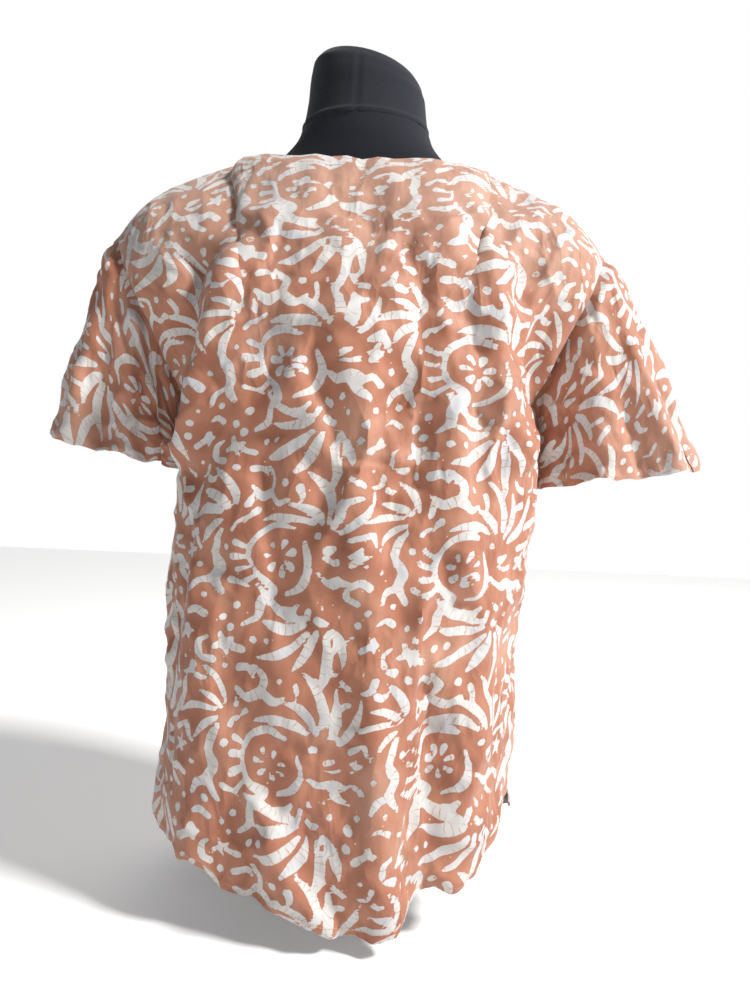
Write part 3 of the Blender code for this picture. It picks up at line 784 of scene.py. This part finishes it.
# ======== laying panels out flat, and making shells of them
HEM_DEPTH = 0.009              # the narrow turned hem
HEM_SWELL = 0.00045            # what its extra layers add on each side
SIGNS = (-1, 1, -1, 1)         # which way each grid's own normal is turned to face outwards


def laid_out(grid, origin_row, origin_column):
    """Distance across from one column and along from one row, measured on the panel itself."""
    across = np.linalg.norm(np.diff(grid, axis=1), axis=2)
    along = np.linalg.norm(np.diff(grid, axis=0), axis=2)
    u = np.concatenate((np.zeros((len(grid), 1)), np.cumsum(across, axis=1)), axis=1)
    v = np.concatenate((np.zeros((1, grid.shape[1])), np.cumsum(along, axis=0)), axis=0)
    u = u - u[:, origin_column:origin_column + 1]
    v = v - v[origin_row:origin_row + 1]
    return np.stack((u, v), axis=-1)


def panel_edges(grid):
    """How far each point is from the side edges, the top edge and the hem."""
    rows, columns = grid.shape[:2]
    flat = laid_out(grid, 0, 0)
    u, v = flat[..., 0], flat[..., 1]
    side = np.minimum(u, u[:, -1:] - u)
    return side, v[-1:] - v, v


def shared_normals(grids):
    """Outward normals, with one shared normal wherever pieces meet at a seam."""
    index = welded(grids)[2]
    own = [grid_normals(g, closed=i > 1) * sign for i, (g, sign) in enumerate(zip(grids, SIGNS))]
    return split_up(welded_normals(index, own)[index], grids)


def sew(back, front, left, right):
    """Bring the edges that are sewn together onto the same line."""
    middle = COLUMNS
    reach = 2 * NECK_STEP
    for part in (slice(0, middle - reach + 1), slice(middle + reach, None)):
        line = (back[-1, part] + front[-1, part]) / 2
        back[-1, part] = line
        front[-1, part] = line
    for column in (0, -1):
        close = np.linalg.norm(back[:, column] - front[:, column], axis=1) < 0.004
        line = (back[:, column] + front[:, column]) / 2
        back[close, column] = line[close]
        front[close, column] = line[close]
    arm = 2 * ROWS_LOWER
    for sleeve, column in ((left, 0), (right, -1)):
        sleeve[0] = np.vstack((back[arm:, column], front[arm:, column][::-1][1:]))
        sleeve[:, -1] = sleeve[:, 0]


def set_back(grid, seams):
    """Draw the sewn edges back by a hair, so that the pieces stay separate."""
    result = grid.copy()
    if "top" in seams:
        result[-1] += unit(grid[-2] - grid[-1]) * SEAM_SETBACK
    if "first_row" in seams:
        result[0] += unit(grid[1] - grid[0]) * SEAM_SETBACK
    if "sides" in seams:
        result[:, 0] += unit(grid[:, 1] - grid[:, 0]) * SEAM_SETBACK
        result[:, -1] += unit(grid[:, -2] - grid[:, -1]) * SEAM_SETBACK
    return result


def mesh_object(name, points, quads, uv, attributes):
    mesh = bpy.data.meshes.new(name)
    mesh.vertices.add(len(points))
    mesh.vertices.foreach_set("co", points.astype(np.float32).ravel())
    mesh.loops.add(quads.size)
    mesh.loops.foreach_set("vertex_index", quads.astype(np.int32).ravel())
    mesh.polygons.add(len(quads))
    mesh.polygons.foreach_set("loop_start", np.arange(0, quads.size, 4, dtype=np.int32))
    mesh.update(calc_edges=True)
    mesh.validate()
    mesh.polygons.foreach_set("use_smooth", np.ones(len(quads), dtype=bool))
    if uv is not None:
        layer = mesh.uv_layers.new(name="OFBake")
        layer.data.foreach_set("uv", uv.astype(np.float32).ravel())
    for key, values in attributes.items():
        kind, field = ("FLOAT_VECTOR", "vector") if values.ndim == 2 else ("FLOAT", "value")
        layer = mesh.attributes.new(key, kind, "POINT")
        layer.data.foreach_set(field, values.astype(np.float32).ravel())
    mesh.set_sharp_from_angle(angle=math.radians(62))
    return linked(name, mesh)


def shell(name, grid, normals, sign, swell, channels, stacked=False):
    """A closed thin shell: the outer layer, the inner layer and the rims between them."""
    rows, columns = grid.shape[:2]
    half = (CLOTH_THICKNESS / 2 + swell)[..., None]
    points = np.vstack(((grid + normals * half).reshape(-1, 3), (grid - normals * half).reshape(-1, 3)))
    count = rows * columns
    ids = np.arange(count).reshape(rows, columns)
    face = quads_of(ids)
    loop = np.concatenate((ids[0, :-1], ids[:-1, -1], ids[-1, :0:-1], ids[:0:-1, 0]))
    after = np.roll(loop, -1)
    rim = np.stack((after, loop, loop + count, after + count), axis=-1)
    across, up = np.meshgrid(np.linspace(0, 1, columns), np.linspace(0, 1, rows))
    place = np.stack((across, up), axis=-1).reshape(-1, 2)
    if stacked:
        homes = ((0.01, 0.02, 0.96, 0.42), (0.01, 0.48, 0.96, 0.42))
    else:
        homes = ((0.01, 0.02, 0.46, 0.90), (0.51, 0.02, 0.46, 0.90))
    spots = [place * (home[2], home[3]) + (home[0], home[1]) for home in homes]
    step = 0.96 / len(rim)
    start = 0.01 + step * np.arange(len(rim))
    ends = ((start + step, 0.945), (start, 0.945), (start, 0.985), (start + step, 0.985))
    rim_uv = np.stack([np.stack((u, np.full(len(rim), v)), axis=-1) for u, v in ends], axis=1)
    quads = np.vstack((face, (face + count)[:, ::-1], rim))
    uv = np.vstack((spots[0][face], spots[1][face][:, ::-1], rim_uv))
    if sign > 0:
        quads = quads[:, ::-1]
        uv = uv[:, ::-1]
    values = {}
    for key, channel in channels.items():
        flat = channel.reshape(count, -1)
        values[key] = np.squeeze(np.vstack((flat, flat)))
    values["inside"] = np.concatenate((np.zeros(count), np.ones(count)))
    return mesh_object(name, points, quads, uv, values)


# ======== stitches and the facing round the neck
THREAD_RADIUS = 0.00022
STITCH_STEP = 0.0030
STITCH_LENGTH = 0.0022
THREAD_SIDES = 5
NECK_STITCH_DEPTH = 0.0145
FACING_WIDTH = 0.0185
FACING_ROWS = 7
FACING_GAP = 0.0003
FACING_SWELL = -0.0001         # it is a little thinner than the rest
HEM_STITCH_ROW = 3


def stitches(name, runs):
    """Short threads laid along each run of (points, normals)."""
    points = []
    quads = []
    shape = ((0.0, 0.35), (0.16, 0.95), (0.5, 1.15), (0.84, 0.95), (1.0, 0.35))
    for path, normals in runs:
        travelled = np.concatenate(([0.0], np.cumsum(np.linalg.norm(np.diff(path, axis=0), axis=1))))
        for start in np.arange(0.001, travelled[-1] - STITCH_LENGTH, STITCH_STEP):
            base = len(points)
            ends = []
            for reach in (start, start + STITCH_LENGTH):
                ends.append([np.interp(reach, travelled, path[:, k]) for k in range(3)])
            normal = unit(np.array([np.interp(start, travelled, normals[:, k]) for k in range(3)]))
            a, b = np.array(ends)
            side = unit(np.cross(b - a, normal))
            for share, size in shape:
                middle = a + (b - a) * share + normal * THREAD_RADIUS * (2.2 * size - 1.2)
                for k in range(THREAD_SIDES):
                    turn = 2 * math.pi * k / THREAD_SIDES
                    spin = side * math.cos(turn) + normal * math.sin(turn)
                    points.append(middle + spin * THREAD_RADIUS * size)
            for ring in range(len(shape) - 1):
                for k in range(THREAD_SIDES):
                    low = base + ring * THREAD_SIDES
                    high = low + THREAD_SIDES
                    after = (k + 1) % THREAD_SIDES
                    quads.append((low + k, low + after, high + after, high + k))
    return mesh_object(name, np.array(points), np.array(quads), None, {})


def neck_loop(back, front):
    """The neck edge as one closed run: across the back and home along the front."""
    middle = COLUMNS
    reach = 2 * NECK_STEP
    part = slice(middle - reach, middle + reach + 1)
    return np.vstack((back[-1, part], front[-1, part][::-1][1:]))


def below_neck(loop, tree, depths):
    """Points on the cloth at each depth below the neck edge, with the cloth's normals there."""
    ahead = np.roll(loop[:-1], -1, axis=0)
    behind = np.roll(loop[:-1], 1, axis=0)
    along = unit(ahead - behind)
    rows = []
    facings = []
    for depth in depths:
        row = []
        facing = []
        for point, tangent in zip(loop[:-1], along):
            out = unit(np.array((point[0], point[1] * 1.3, 0.0)))
            down = unit(np.cross(tangent, np.cross(out * 0.8 - np.array((0.0, 0.0, 0.9)), tangent)))
            place, normal, _, _ = tree.find_nearest(Vector(point + down * depth))
            if normal.dot(Vector(out + np.array((0.0, 0.0, 0.8)))) < 0:
                normal = -normal
            row.append(tuple(place))
            facing.append(tuple(normal))
        row.append(row[0])
        facing.append(facing[0])
        rows.append(row)
        facings.append(facing)
    return np.array(rows), np.array(facings)


# ======== finishes
def new_material(name):
    material = bpy.data.materials.new(name)
    material.use_nodes = True
    material.node_tree.nodes.clear()
    return material


def add(tree, kind, values=(), output=0, **settings):
    """A shader node; each value is a constant or another node's output."""
    node = tree.nodes.new(kind)
    for key, value in settings.items():
        setattr(node, key, value)
    pairs = values.items() if isinstance(values, dict) else enumerate(values)
    for key, value in pairs:
        if isinstance(value, bpy.types.NodeSocket):
            tree.links.new(value, node.inputs[key])
        elif value is not None:
            node.inputs[key].default_value = value
    return node.outputs[output]


def sums(tree, operation, *values):
    return add(tree, "ShaderNodeMath", values, operation=operation)


def steps(tree, value, low, high):
    """0 below low, 1 above high, smooth between."""
    values = {"Value": value, "From Min": low, "From Max": high}
    return add(tree, "ShaderNodeMapRange", values, interpolation_type="SMOOTHSTEP")


def blend_colours(tree, share, first, second):
    node = tree.nodes.new("ShaderNodeMix")
    node.data_type = "RGBA"
    for socket, value in ((node.inputs[0], share), (node.inputs[6], first), (node.inputs[7], second)):
        if isinstance(value, bpy.types.NodeSocket):
            tree.links.new(value, socket)
        else:
            socket.default_value = value
    return node.outputs[2]


def grain(tree, place, scale, detail=2.0, output="Fac"):
    return add(tree, "ShaderNodeTexNoise", {"Vector": place, "Scale": scale, "Detail": detail}, output=output)


GROUND = (0.490, 0.205, 0.122, 1)
GROUND_DEEP = (0.400, 0.145, 0.080, 1)
GROUND_PALE = (0.570, 0.300, 0.205, 1)
# a pale pink for painted sheen on the shoulders, mixed into the ground higher up the cloth
PAINTED_SHEEN = (0.600, 0.410, 0.320, 1)
WHITE = (0.690, 0.672, 0.655, 1)
WHITE_COOL = (0.620, 0.625, 0.650, 1)
CRACK = (0.560, 0.270, 0.100, 1)
SPECK = (0.800, 0.640, 0.420, 1)


# Fine creases of the finish: lean in degrees, how many to a metre, how drawn out, depth in metres.
SHADER_CREASES = (
    (12, 24.0, 0.42, 0.0125),
    (-24, 43.0, 0.50, 0.0066),
    (55, 55.0, 0.60, 0.0038),
    (-4, 98.0, 0.50, 0.0020),
)


def printed_cotton():
    material = new_material("printed_cotton")
    tree = material.node_tree

    def channel(name, output="Fac"):
        return add(tree, "ShaderNodeAttribute", attribute_name=name, output=output)

    def times(first, second):
        return sums(tree, "MULTIPLY", first, second)

    def from_half(value):
        return sums(tree, "SUBTRACT", value, 0.5)

    def patches(scale, detail, low, high):
        return steps(tree, grain(tree, place, scale, detail), low, high)

    def mixed(share, first, second):
        return blend_colours(tree, share, first, second)

    place = channel("flat", "Vector")
    edge = sums(tree, "ADD", channel("print"), times(from_half(grain(tree, place, 330.0, 3.0)), 0.0012))

    # the dyed ground: uneven, darker along the motif, with pale specks; paler towards the shoulders by a
    # painted sheen
    ground = mixed(patches(26.0, 4.0, 0.38, 0.68), GROUND, GROUND_DEEP)
    ground = mixed(patches(11.0, 3.0, 0.48, 0.75), ground, GROUND_PALE)
    ground = mixed(times(steps(tree, edge, -0.0012, 0.0), 0.35), ground, GROUND_DEEP)
    up = add(tree, "ShaderNodeSeparateXYZ", (place,), output="Y")
    # painted sheen: the ground turns pale pink higher up the cloth, standing in for the haze of light on the
    # shoulders
    ground = mixed(times(steps(tree, up, 0.06, 0.21), 0.40), ground, PAINTED_SHEEN)
    dots = tree.nodes.new("ShaderNodeTexVoronoi")
    tree.links.new(place, dots.inputs["Vector"])
    dots.inputs["Scale"].default_value = 120.0
    chosen = steps(tree, dots.outputs["Color"], 0.66, 0.68)
    ground = mixed(times(chosen, steps(tree, dots.outputs["Distance"], 0.12, 0.07)), ground, SPECK)

    # the undyed motif, with cracks of dye across its strokes
    white = mixed(patches(17.0, 3.0, 0.40, 0.70), WHITE, WHITE_COOL)
    along = sums(tree, "ADD", times(channel("along"), 165.0), times(grain(tree, place, 90.0, 2.0), 1.3))
    crack = steps(tree, sums(tree, "ABSOLUTE", from_half(sums(tree, "FRACT", along))), 0.085, 0.03)
    white = mixed(times(times(crack, patches(75.0, 1.0, 0.36, 0.60)), 0.80), white, CRACK)

    colour = mixed(steps(tree, edge, -0.00022, 0.00022), ground, white)
    colour = mixed(times(channel("inside"), 0.14), colour, WHITE)

    # weave and fine creases
    strength = patches(9.0, 1.0, 0.22, 0.72)
    height = times(grain(tree, place, 2300.0, 1.0), 0.00006)
    for lean, scale, stretch, deep in SHADER_CREASES:
        values = {"Vector": place, "Rotation": (0, 0, math.radians(lean)), "Scale": (1, stretch, 1)}
        turned_place = add(tree, "ShaderNodeMapping", values)
        values = {"Vector": turned_place, "Scale": scale, "Detail": 0.6, "Distortion": 0.25}
        ridge = sums(tree, "ABSOLUTE", from_half(add(tree, "ShaderNodeTexNoise", values)))
        height = sums(tree, "ADD", height, times(times(ridge, -deep), strength))
    bump = add(tree, "ShaderNodeBump", {"Strength": 1.0, "Distance": 1.0, "Height": height})

    values = {"Base Color": colour, "Roughness": 0.62, "Specular IOR Level": 0.40, "Normal": bump}
    values.update({"Sheen Weight": 0.22, "Sheen Roughness": 0.55})
    main = add(tree, "ShaderNodeBsdfPrincipled", values)
    through = add(tree, "ShaderNodeBsdfTranslucent", {"Color": colour, "Normal": bump})
    add_output(tree, add(tree, "ShaderNodeMixShader", (0.16, main, through)))
    return material


def add_output(tree, shader):
    end = tree.nodes.new("ShaderNodeOutputMaterial")
    tree.links.new(shader, end.inputs["Surface"])


def plain(name, colour, roughness, specular=0.5, metallic=0.0, grain_scale=None, grain_depth=0.0, sheen=0.0):
    material = new_material(name)
    tree = material.node_tree
    values = {
        "Base Color": colour,
        "Roughness": roughness,
        "Specular IOR Level": specular,
        "Metallic": metallic,
        "Sheen Weight": sheen,
    }
    if grain_scale:
        place = add(tree, "ShaderNodeTexCoord", output="Object")
        bump = {"Strength": 0.4, "Distance": grain_depth, "Height": grain(tree, place, grain_scale, 3.0)}
        values["Normal"] = add(tree, "ShaderNodeBump", bump)
    add_output(tree, add(tree, "ShaderNodeBsdfPrincipled", values))
    return material


# ======== the dress form
NECK_RINGS = table(
    "height half_width back front",
    (0.7883, 0.0672, 0.0525, 0.0505),
    (0.795, 0.0655, 0.0515, 0.0495),
    (0.816, 0.0623, 0.050, 0.048),
    (0.838, 0.0597, 0.049, 0.047),
    (0.850, 0.0555, 0.0455, 0.0435),
    (0.858, 0.046, 0.038, 0.036),
    (0.863, 0.030, 0.025, 0.024),
)
NECK_FOOT = 0.7883
NECK_RADIUS = 0.058
RING_SEAM = 0.7915             # the seam round the neck
COVER_SEAM_TURN = math.radians(262)
COVER_SEAM_TOP = 0.855
NECK_TOP_SLANT = 0.22
SLANT_FROM = 0.816
FORM_COLUMNS = 128
POST_RADIUS = 0.016
POST_SPAN = (0.0123, 0.0997)
BASE_RADIUS = 0.090
BASE_THICKNESS = 0.012
BASE_EDGE = 0.003


def smooth_table(table, heights):
    """Ring sizes at each height along a smooth curve through the table."""
    known = np.array([[r.height, r.half_width, r.back, r.front] for r in table])
    slopes = np.gradient(known, known[:, 0], axis=0)
    result = []
    for height in heights:
        i = min(max(int(np.searchsorted(known[:, 0], height)) - 1, 0), len(known) - 2)
        span = known[i + 1, 0] - known[i, 0]
        t = (height - known[i, 0]) / span
        low = (2 * t**3 - 3 * t**2 + 1) * known[i] + (t**3 - 2 * t**2 + t) * span * slopes[i]
        result.append(low + (-2 * t**3 + 3 * t**2) * known[i + 1] + (t**3 - t**2) * span * slopes[i + 1])
    return np.array(result)


def turned(name, rings, finish=None):
    """Closed body from rings of (height, half width, back, front), with flat caps."""
    turn = np.arange(FORM_COLUMNS) * 2 * math.pi / FORM_COLUMNS
    rows = []
    for height, half, back, front in rings:
        depth = np.where(np.sin(turn) < 0, back, front)
        level = np.full(len(turn), height)
        rows.append(np.stack((half * np.cos(turn), depth * np.sin(turn), level), axis=-1))
    points = np.array(rows)
    if finish is not None:
        points = finish(points, turn)
    low = points[0].mean(axis=0)
    high = points[-1].mean(axis=0)
    count = points.shape[0] * points.shape[1]
    ids = np.arange(count).reshape(points.shape[:2])
    after = np.roll(ids, -1, axis=1)
    quads = np.stack((ids[:-1], after[:-1], after[1:], ids[1:]), axis=-1).reshape(-1, 4).tolist()
    quads += [(int(b), int(a), count) for a, b in zip(ids[0], after[0])]
    quads += [(int(a), int(b), count + 1) for a, b in zip(ids[-1], after[-1])]
    mesh = bpy.data.meshes.new(name)
    mesh.from_pydata(np.vstack((points.reshape(-1, 3), low, high)).tolist(), [], quads)
    mesh.polygons.foreach_set("use_smooth", np.ones(len(quads), dtype=bool))
    mesh.set_sharp_from_angle(angle=math.radians(50))
    return linked(name, mesh)


def neck_finish(points, turn):
    """The slanting top, the soft gathers above the ring seam and the cover's own upright seam."""
    z = points[..., 2]
    gather = np.exp(-np.maximum(z - NECK_FOOT, 0.0) / 0.006)
    ripple = 0.0007 * noise(9 * turn[None, :] + 0 * z, 0 * z, 1.0, 31) * gather
    seam_at = np.abs((turn[None, :] - COVER_SEAM_TURN + math.pi) % (2 * math.pi) - math.pi) * NECK_RADIUS
    seam = -0.0009 * np.exp(-(seam_at / 0.0022) ** 2) + 0.0004 * np.exp(-((seam_at - 0.005) / 0.003) ** 2)
    ring = 0.0010 * np.exp(-(((z - RING_SEAM) / 0.0022) ** 2))
    swell = (ripple + seam * (z < COVER_SEAM_TOP) + ring)[..., None]
    centre = points * (0.0, 0.0, 1.0)
    points = points + unit(points - centre + 1e-9) * swell
    points[..., 2] -= NECK_TOP_SLANT * ease((z - SLANT_FROM) / 0.03) * points[..., 0]
    return points


# ======== build
back = body_grid(-1)
front = body_grid(1)
left = sleeve_grid(CUFF_LEFT, back, front)
right = sleeve_grid(CUFF_RIGHT, back, front)
bare = [back, front, left, right]
moved = bare
moved = [grid + move for grid, move in zip(bare, settle(bare, SIGNS))]


def finer(grid, closed):
    return doubled(doubled(grid, 0), 1, closed)


back, front, left, right = [finer(grid, i > 1) for i, grid in enumerate(moved)]
smooth = [finer(grid, i > 1) for i, grid in enumerate(bare)]
sew(back, front, left, right)

# flat places on the cut pieces: panels from their centre at the underarm, sleeves from the shoulder line
arm_row = 2 * ROWS_LOWER
flats = [laid_out(smooth[0], arm_row, COLUMNS), laid_out(smooth[1], arm_row, COLUMNS)]
flats += [laid_out(smooth[i], 0, smooth[i].shape[1] // 2) for i in (2, 3)]

PIECES = (
    ("back_cloth", "back_panel"),
    ("front_cloth", "front_panel"),
    ("sleeve_left_cloth", "sleeve_left"),
    ("sleeve_right_cloth", "sleeve_right"),
)
SEAMS = (("top", "sides"), ("top", "sides"), ("first_row", "sides"), ("first_row", "sides"))
PRINT_ORIGINS = ((-0.056, 0.024), (0.031, -0.052), (0.045, 0.070), (-0.020, 0.035))
CRUMPLE_SEEDS = (41, 71, 101, 131)
SIDE_CALM = 0.016              # how far in from each edge the crumpling comes to its full height
TOP_CALM = 0.020
HEM_CALM = 0.014
ARMHOLE_CALM = 0.014
SLEEVE_SEAM_CALM = 0.012
SLEEVE_COLUMN = 0.0024         # the rough width of a sleeve's column
HEM_SHARE = 0.6                # what is left of the crumpling at a hem
SHOULDER_LOSS = 0.55           # what the shoulders lose of it, as the form fills them
PUCKER = 0.0011                # small waves drawn up by the hem's stitching
RAGGED = 0.0035                # how unevenly the hem is turned

grids = [back, front, left, right]
for i, grid in enumerate(grids):
    flat = flats[i]
    height = crumple(flat, CRUMPLE_SEEDS[i])
    if i < 2:
        side, top, hem = panel_edges(smooth[i])
        mask = ease(side / SIDE_CALM) * ease(top / TOP_CALM)
        mask = mask * (1 - SHOULDER_LOSS * ease((flat[..., 1] - 0.16) / 0.06))
        own = CREASES_BACK if i == 0 else ()
        loose = scattered_creases(7 + i, 210, (-0.23, -0.48), (0.23, 0.27))
        height = height * (HEM_SHARE + (1 - HEM_SHARE) * ease(hem / HEM_CALM)) + crease_height(flat, own)
    else:
        columns = grid.shape[1]
        across = np.minimum(np.arange(columns), columns - 1 - np.arange(columns)) * SLEEVE_COLUMN
        mask = ease(flat[..., 1] / ARMHOLE_CALM) * ease(across / SLEEVE_SEAM_CALM)[None, :]
        loose = scattered_creases(7 + i, 120, (-0.21, 0.0), (0.21, 0.25))
        hem = flat[-1:, :, 1] - flat[..., 1]
    height = height + crease_height(flat, loose)
    pucker = np.exp(-hem / 0.010) * noise(flat[..., 0], flat[..., 1], 0.0065, 51 + i)
    height = (height * mask) + PUCKER * pucker * ease(mask * 2)
    grid += grid_normals(grid, closed=i > 1) * SIGNS[i] * height[..., None]
    ragged = noise(flat[..., 0], 0 * flat[..., 0], 0.014, 61 + i) - 0.9
    reach = RAGGED * np.exp(-hem / 0.020) * ragged * ease(mask * 2)
    down = unit(np.gradient(grid, axis=0)) * (1 if i > 1 else -1)
    grid += down * reach[..., None]
for panel in (back, front):
    panel[...] = clear_of_form(panel)
sew(back, front, left, right)

chart = chart_print()
normals = shared_normals(grids)
cotton = printed_cotton()


def print_channels(flat, origin, seed, shift):
    """What the material reads: the chart at each point, and the point's place on the flat cloth."""
    depth, along = print_at(chart, flat, origin, seed)
    level = np.zeros(flat.shape[:2] + (1,))
    return {"print": depth, "along": along, "flat": np.concatenate((flat + (shift, 0.0), level), axis=-1)}


cloth = []
for i, grid in enumerate(grids):
    if i < 2:
        hem = panel_edges(grid)[2]
    else:
        run = laid_out(grid, 0, 0)[..., 1]
        hem = run[-1:] - run
    swell = HEM_SWELL * ease((HEM_DEPTH + 0.002 - hem) / 0.003)
    channels = print_channels(flats[i], PRINT_ORIGINS[i], 81 + 3 * i, 0.9 * i)
    drawn = set_back(grid, SEAMS[i])
    piece = shell(PIECES[i][0], drawn, normals[i], SIGNS[i], swell, channels, stacked=i > 1)
    piece.data.materials.append(cotton)
    cloth.append(piece)

# facing and topstitching round the neck
panel_points = np.vstack((back.reshape(-1, 3), front.reshape(-1, 3)))
panel_faces = np.vstack([quads_of(ids) for ids in split_up(np.arange(len(panel_points)), (back, front))])
surface = BVHTree.FromPolygons(panel_points.tolist(), panel_faces.tolist())
loop = neck_loop(back, front)
strip, strip_normals = below_neck(loop, surface, np.linspace(0.0006, FACING_WIDTH, FACING_ROWS))
strip = strip - strip_normals * (CLOTH_THICKNESS + FACING_GAP)
strip_flat = laid_out(strip, 0, 0)
channels = print_channels(strip_flat, (0.02, 0.03), 95, 4.0)
swell = np.full(strip.shape[:2], FACING_SWELL)
facing = shell("neck_facing_cloth", strip, strip_normals, 1, swell, channels, stacked=True)
facing.data.materials.append(cotton)

line, line_normals = below_neck(loop, surface, (NECK_STITCH_DEPTH,))
runs = [(line[0] + line_normals[0] * CLOTH_THICKNESS / 2, line_normals[0])]
for i, grid in enumerate(grids):
    row = HEM_STITCH_ROW if i < 2 else -HEM_STITCH_ROW
    runs.append((grid[row] + normals[i][row] * (CLOTH_THICKNESS / 2 + HEM_SWELL), normals[i][row]))
thread = stitches("topstitching", runs)
thread.data.materials.append(plain("thread", (0.66, 0.38, 0.24, 1), 0.7, 0.3))

# the form
torso = turned("form_torso_cover", smooth_table(TORSO_RINGS, np.linspace(0.100, 0.788, 150))[:, :4])
heights = np.concatenate((np.linspace(NECK_FOOT, 0.850, 60), np.linspace(0.851, 0.863, 14)))
neck = turned("form_neck_cover", smooth_table(NECK_RINGS, heights)[:, :4], neck_finish)
jersey = plain("dark_jersey", (0.0165, 0.0185, 0.0260, 1), 0.92, 0.18, 0.0, 900.0, 0.0006, 0.10)
torso.data.materials.append(jersey)
neck.data.materials.append(jersey)
post = turned("form_post_bar", [(z, POST_RADIUS, POST_RADIUS, POST_RADIUS) for z in POST_SPAN])
base_rings = [(0.0, BASE_RADIUS - BASE_EDGE), (BASE_EDGE, BASE_RADIUS)]
base_rings += [(BASE_THICKNESS - BASE_EDGE, BASE_RADIUS), (BASE_THICKNESS, BASE_RADIUS - BASE_EDGE)]
base = turned("form_base_plate", [(z, r, r, r) for z, r in base_rings])
metal = plain("stand_metal", (0.03, 0.03, 0.033, 1), 0.42, 0.5)
post.data.materials.append(metal)
base.data.materials.append(metal)

# ======== each piece hangs on the root body and hides the part it replaces
declared = [(piece, node, "printed_cotton") for piece, (_, node) in zip(cloth, PIECES)]
declared += [
    (facing, "neck_facing", "printed_cotton"),
    (thread, None, "printed_cotton"),
    (torso, "form_torso", "dark_jersey"),
    (neck, "form_neck", "dark_jersey"),
    (post, "form_post", "stand_metal"),
    (base, "form_base", "stand_metal"),
]
for piece, node, finish in declared:
    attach(piece, "root")
    if node:
        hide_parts(node)


# ======== camera, light and room
CAMERA_PLACE = (0.0266, -0.80, 0.401)
CAMERA_TURN = math.radians(2.5)
camera_data = bpy.data.cameras.new("camera")
camera_data.sensor_width = 36.0
camera_data.lens = 27.04
camera = linked("camera", camera_data)
camera.matrix_world = (
    Matrix.Translation(CAMERA_PLACE) @ Matrix.Rotation(math.pi / 2, 4, "X")
    @ Matrix.Rotation(CAMERA_TURN, 4, "Z")
)
bpy.context.scene.camera = camera


def area_light(name, place, aim, size, power, colour):
    data = bpy.data.lights.new(name, "AREA")
    data.size = size
    data.energy = power
    data.color = colour
    turn = (Vector(aim) - Vector(place)).to_track_quat("-Z", "Y")
    linked(name, data).matrix_world = Matrix.Translation(place) @ turn.to_matrix().to_4x4()


def flat_sheet(name, corners, material):
    mesh = bpy.data.meshes.new(name)
    mesh.from_pydata(corners, [], [(0, 1, 2, 3)])
    mesh.materials.append(material)
    return linked(name, mesh)


area_light("key", (2.85, -1.45, 3.35), (0.0, -0.05, 0.45), 0.70, 305.0, (1.0, 0.99, 0.97))
area_light("fill", (-1.0, -2.2, 1.2), (0.0, 0.0, 0.42), 1.4, 3.0, (0.95, 0.97, 1.0))
bpy.context.scene.view_settings.view_transform = "Standard"

pale = new_material("pale_floor")
values = {"Base Color": (0.9, 0.9, 0.9, 1), "Roughness": 0.9, "Specular IOR Level": 0.1}
values.update({"Emission Color": (1.0, 1.0, 1.0, 1), "Emission Strength": 0.22})
add_output(pale.node_tree, add(pale.node_tree, "ShaderNodeBsdfPrincipled", values))
floor = flat_sheet("floor", [(-6, -6, 0), (6, -6, 0), (6, 6, 0), (-6, 6, 0)], pale)
glow = new_material("backdrop")
light = add(glow.node_tree, "ShaderNodeEmission", {"Color": (1.0, 1.0, 1.0, 1), "Strength": 1.0})
add_output(glow.node_tree, light)
wall = flat_sheet("backdrop", [(-9, 4, -1), (9, 4, -1), (9, 4, 8), (-9, 4, 8)], glow)
world = bpy.data.worlds.new("studio")
world.use_nodes = True
sky = world.node_tree.nodes["Background"].inputs
sky["Color"].default_value = (1.0, 1.0, 1.0, 1)
sky["Strength"].default_value = 0.055
bpy.context.scene.world = world
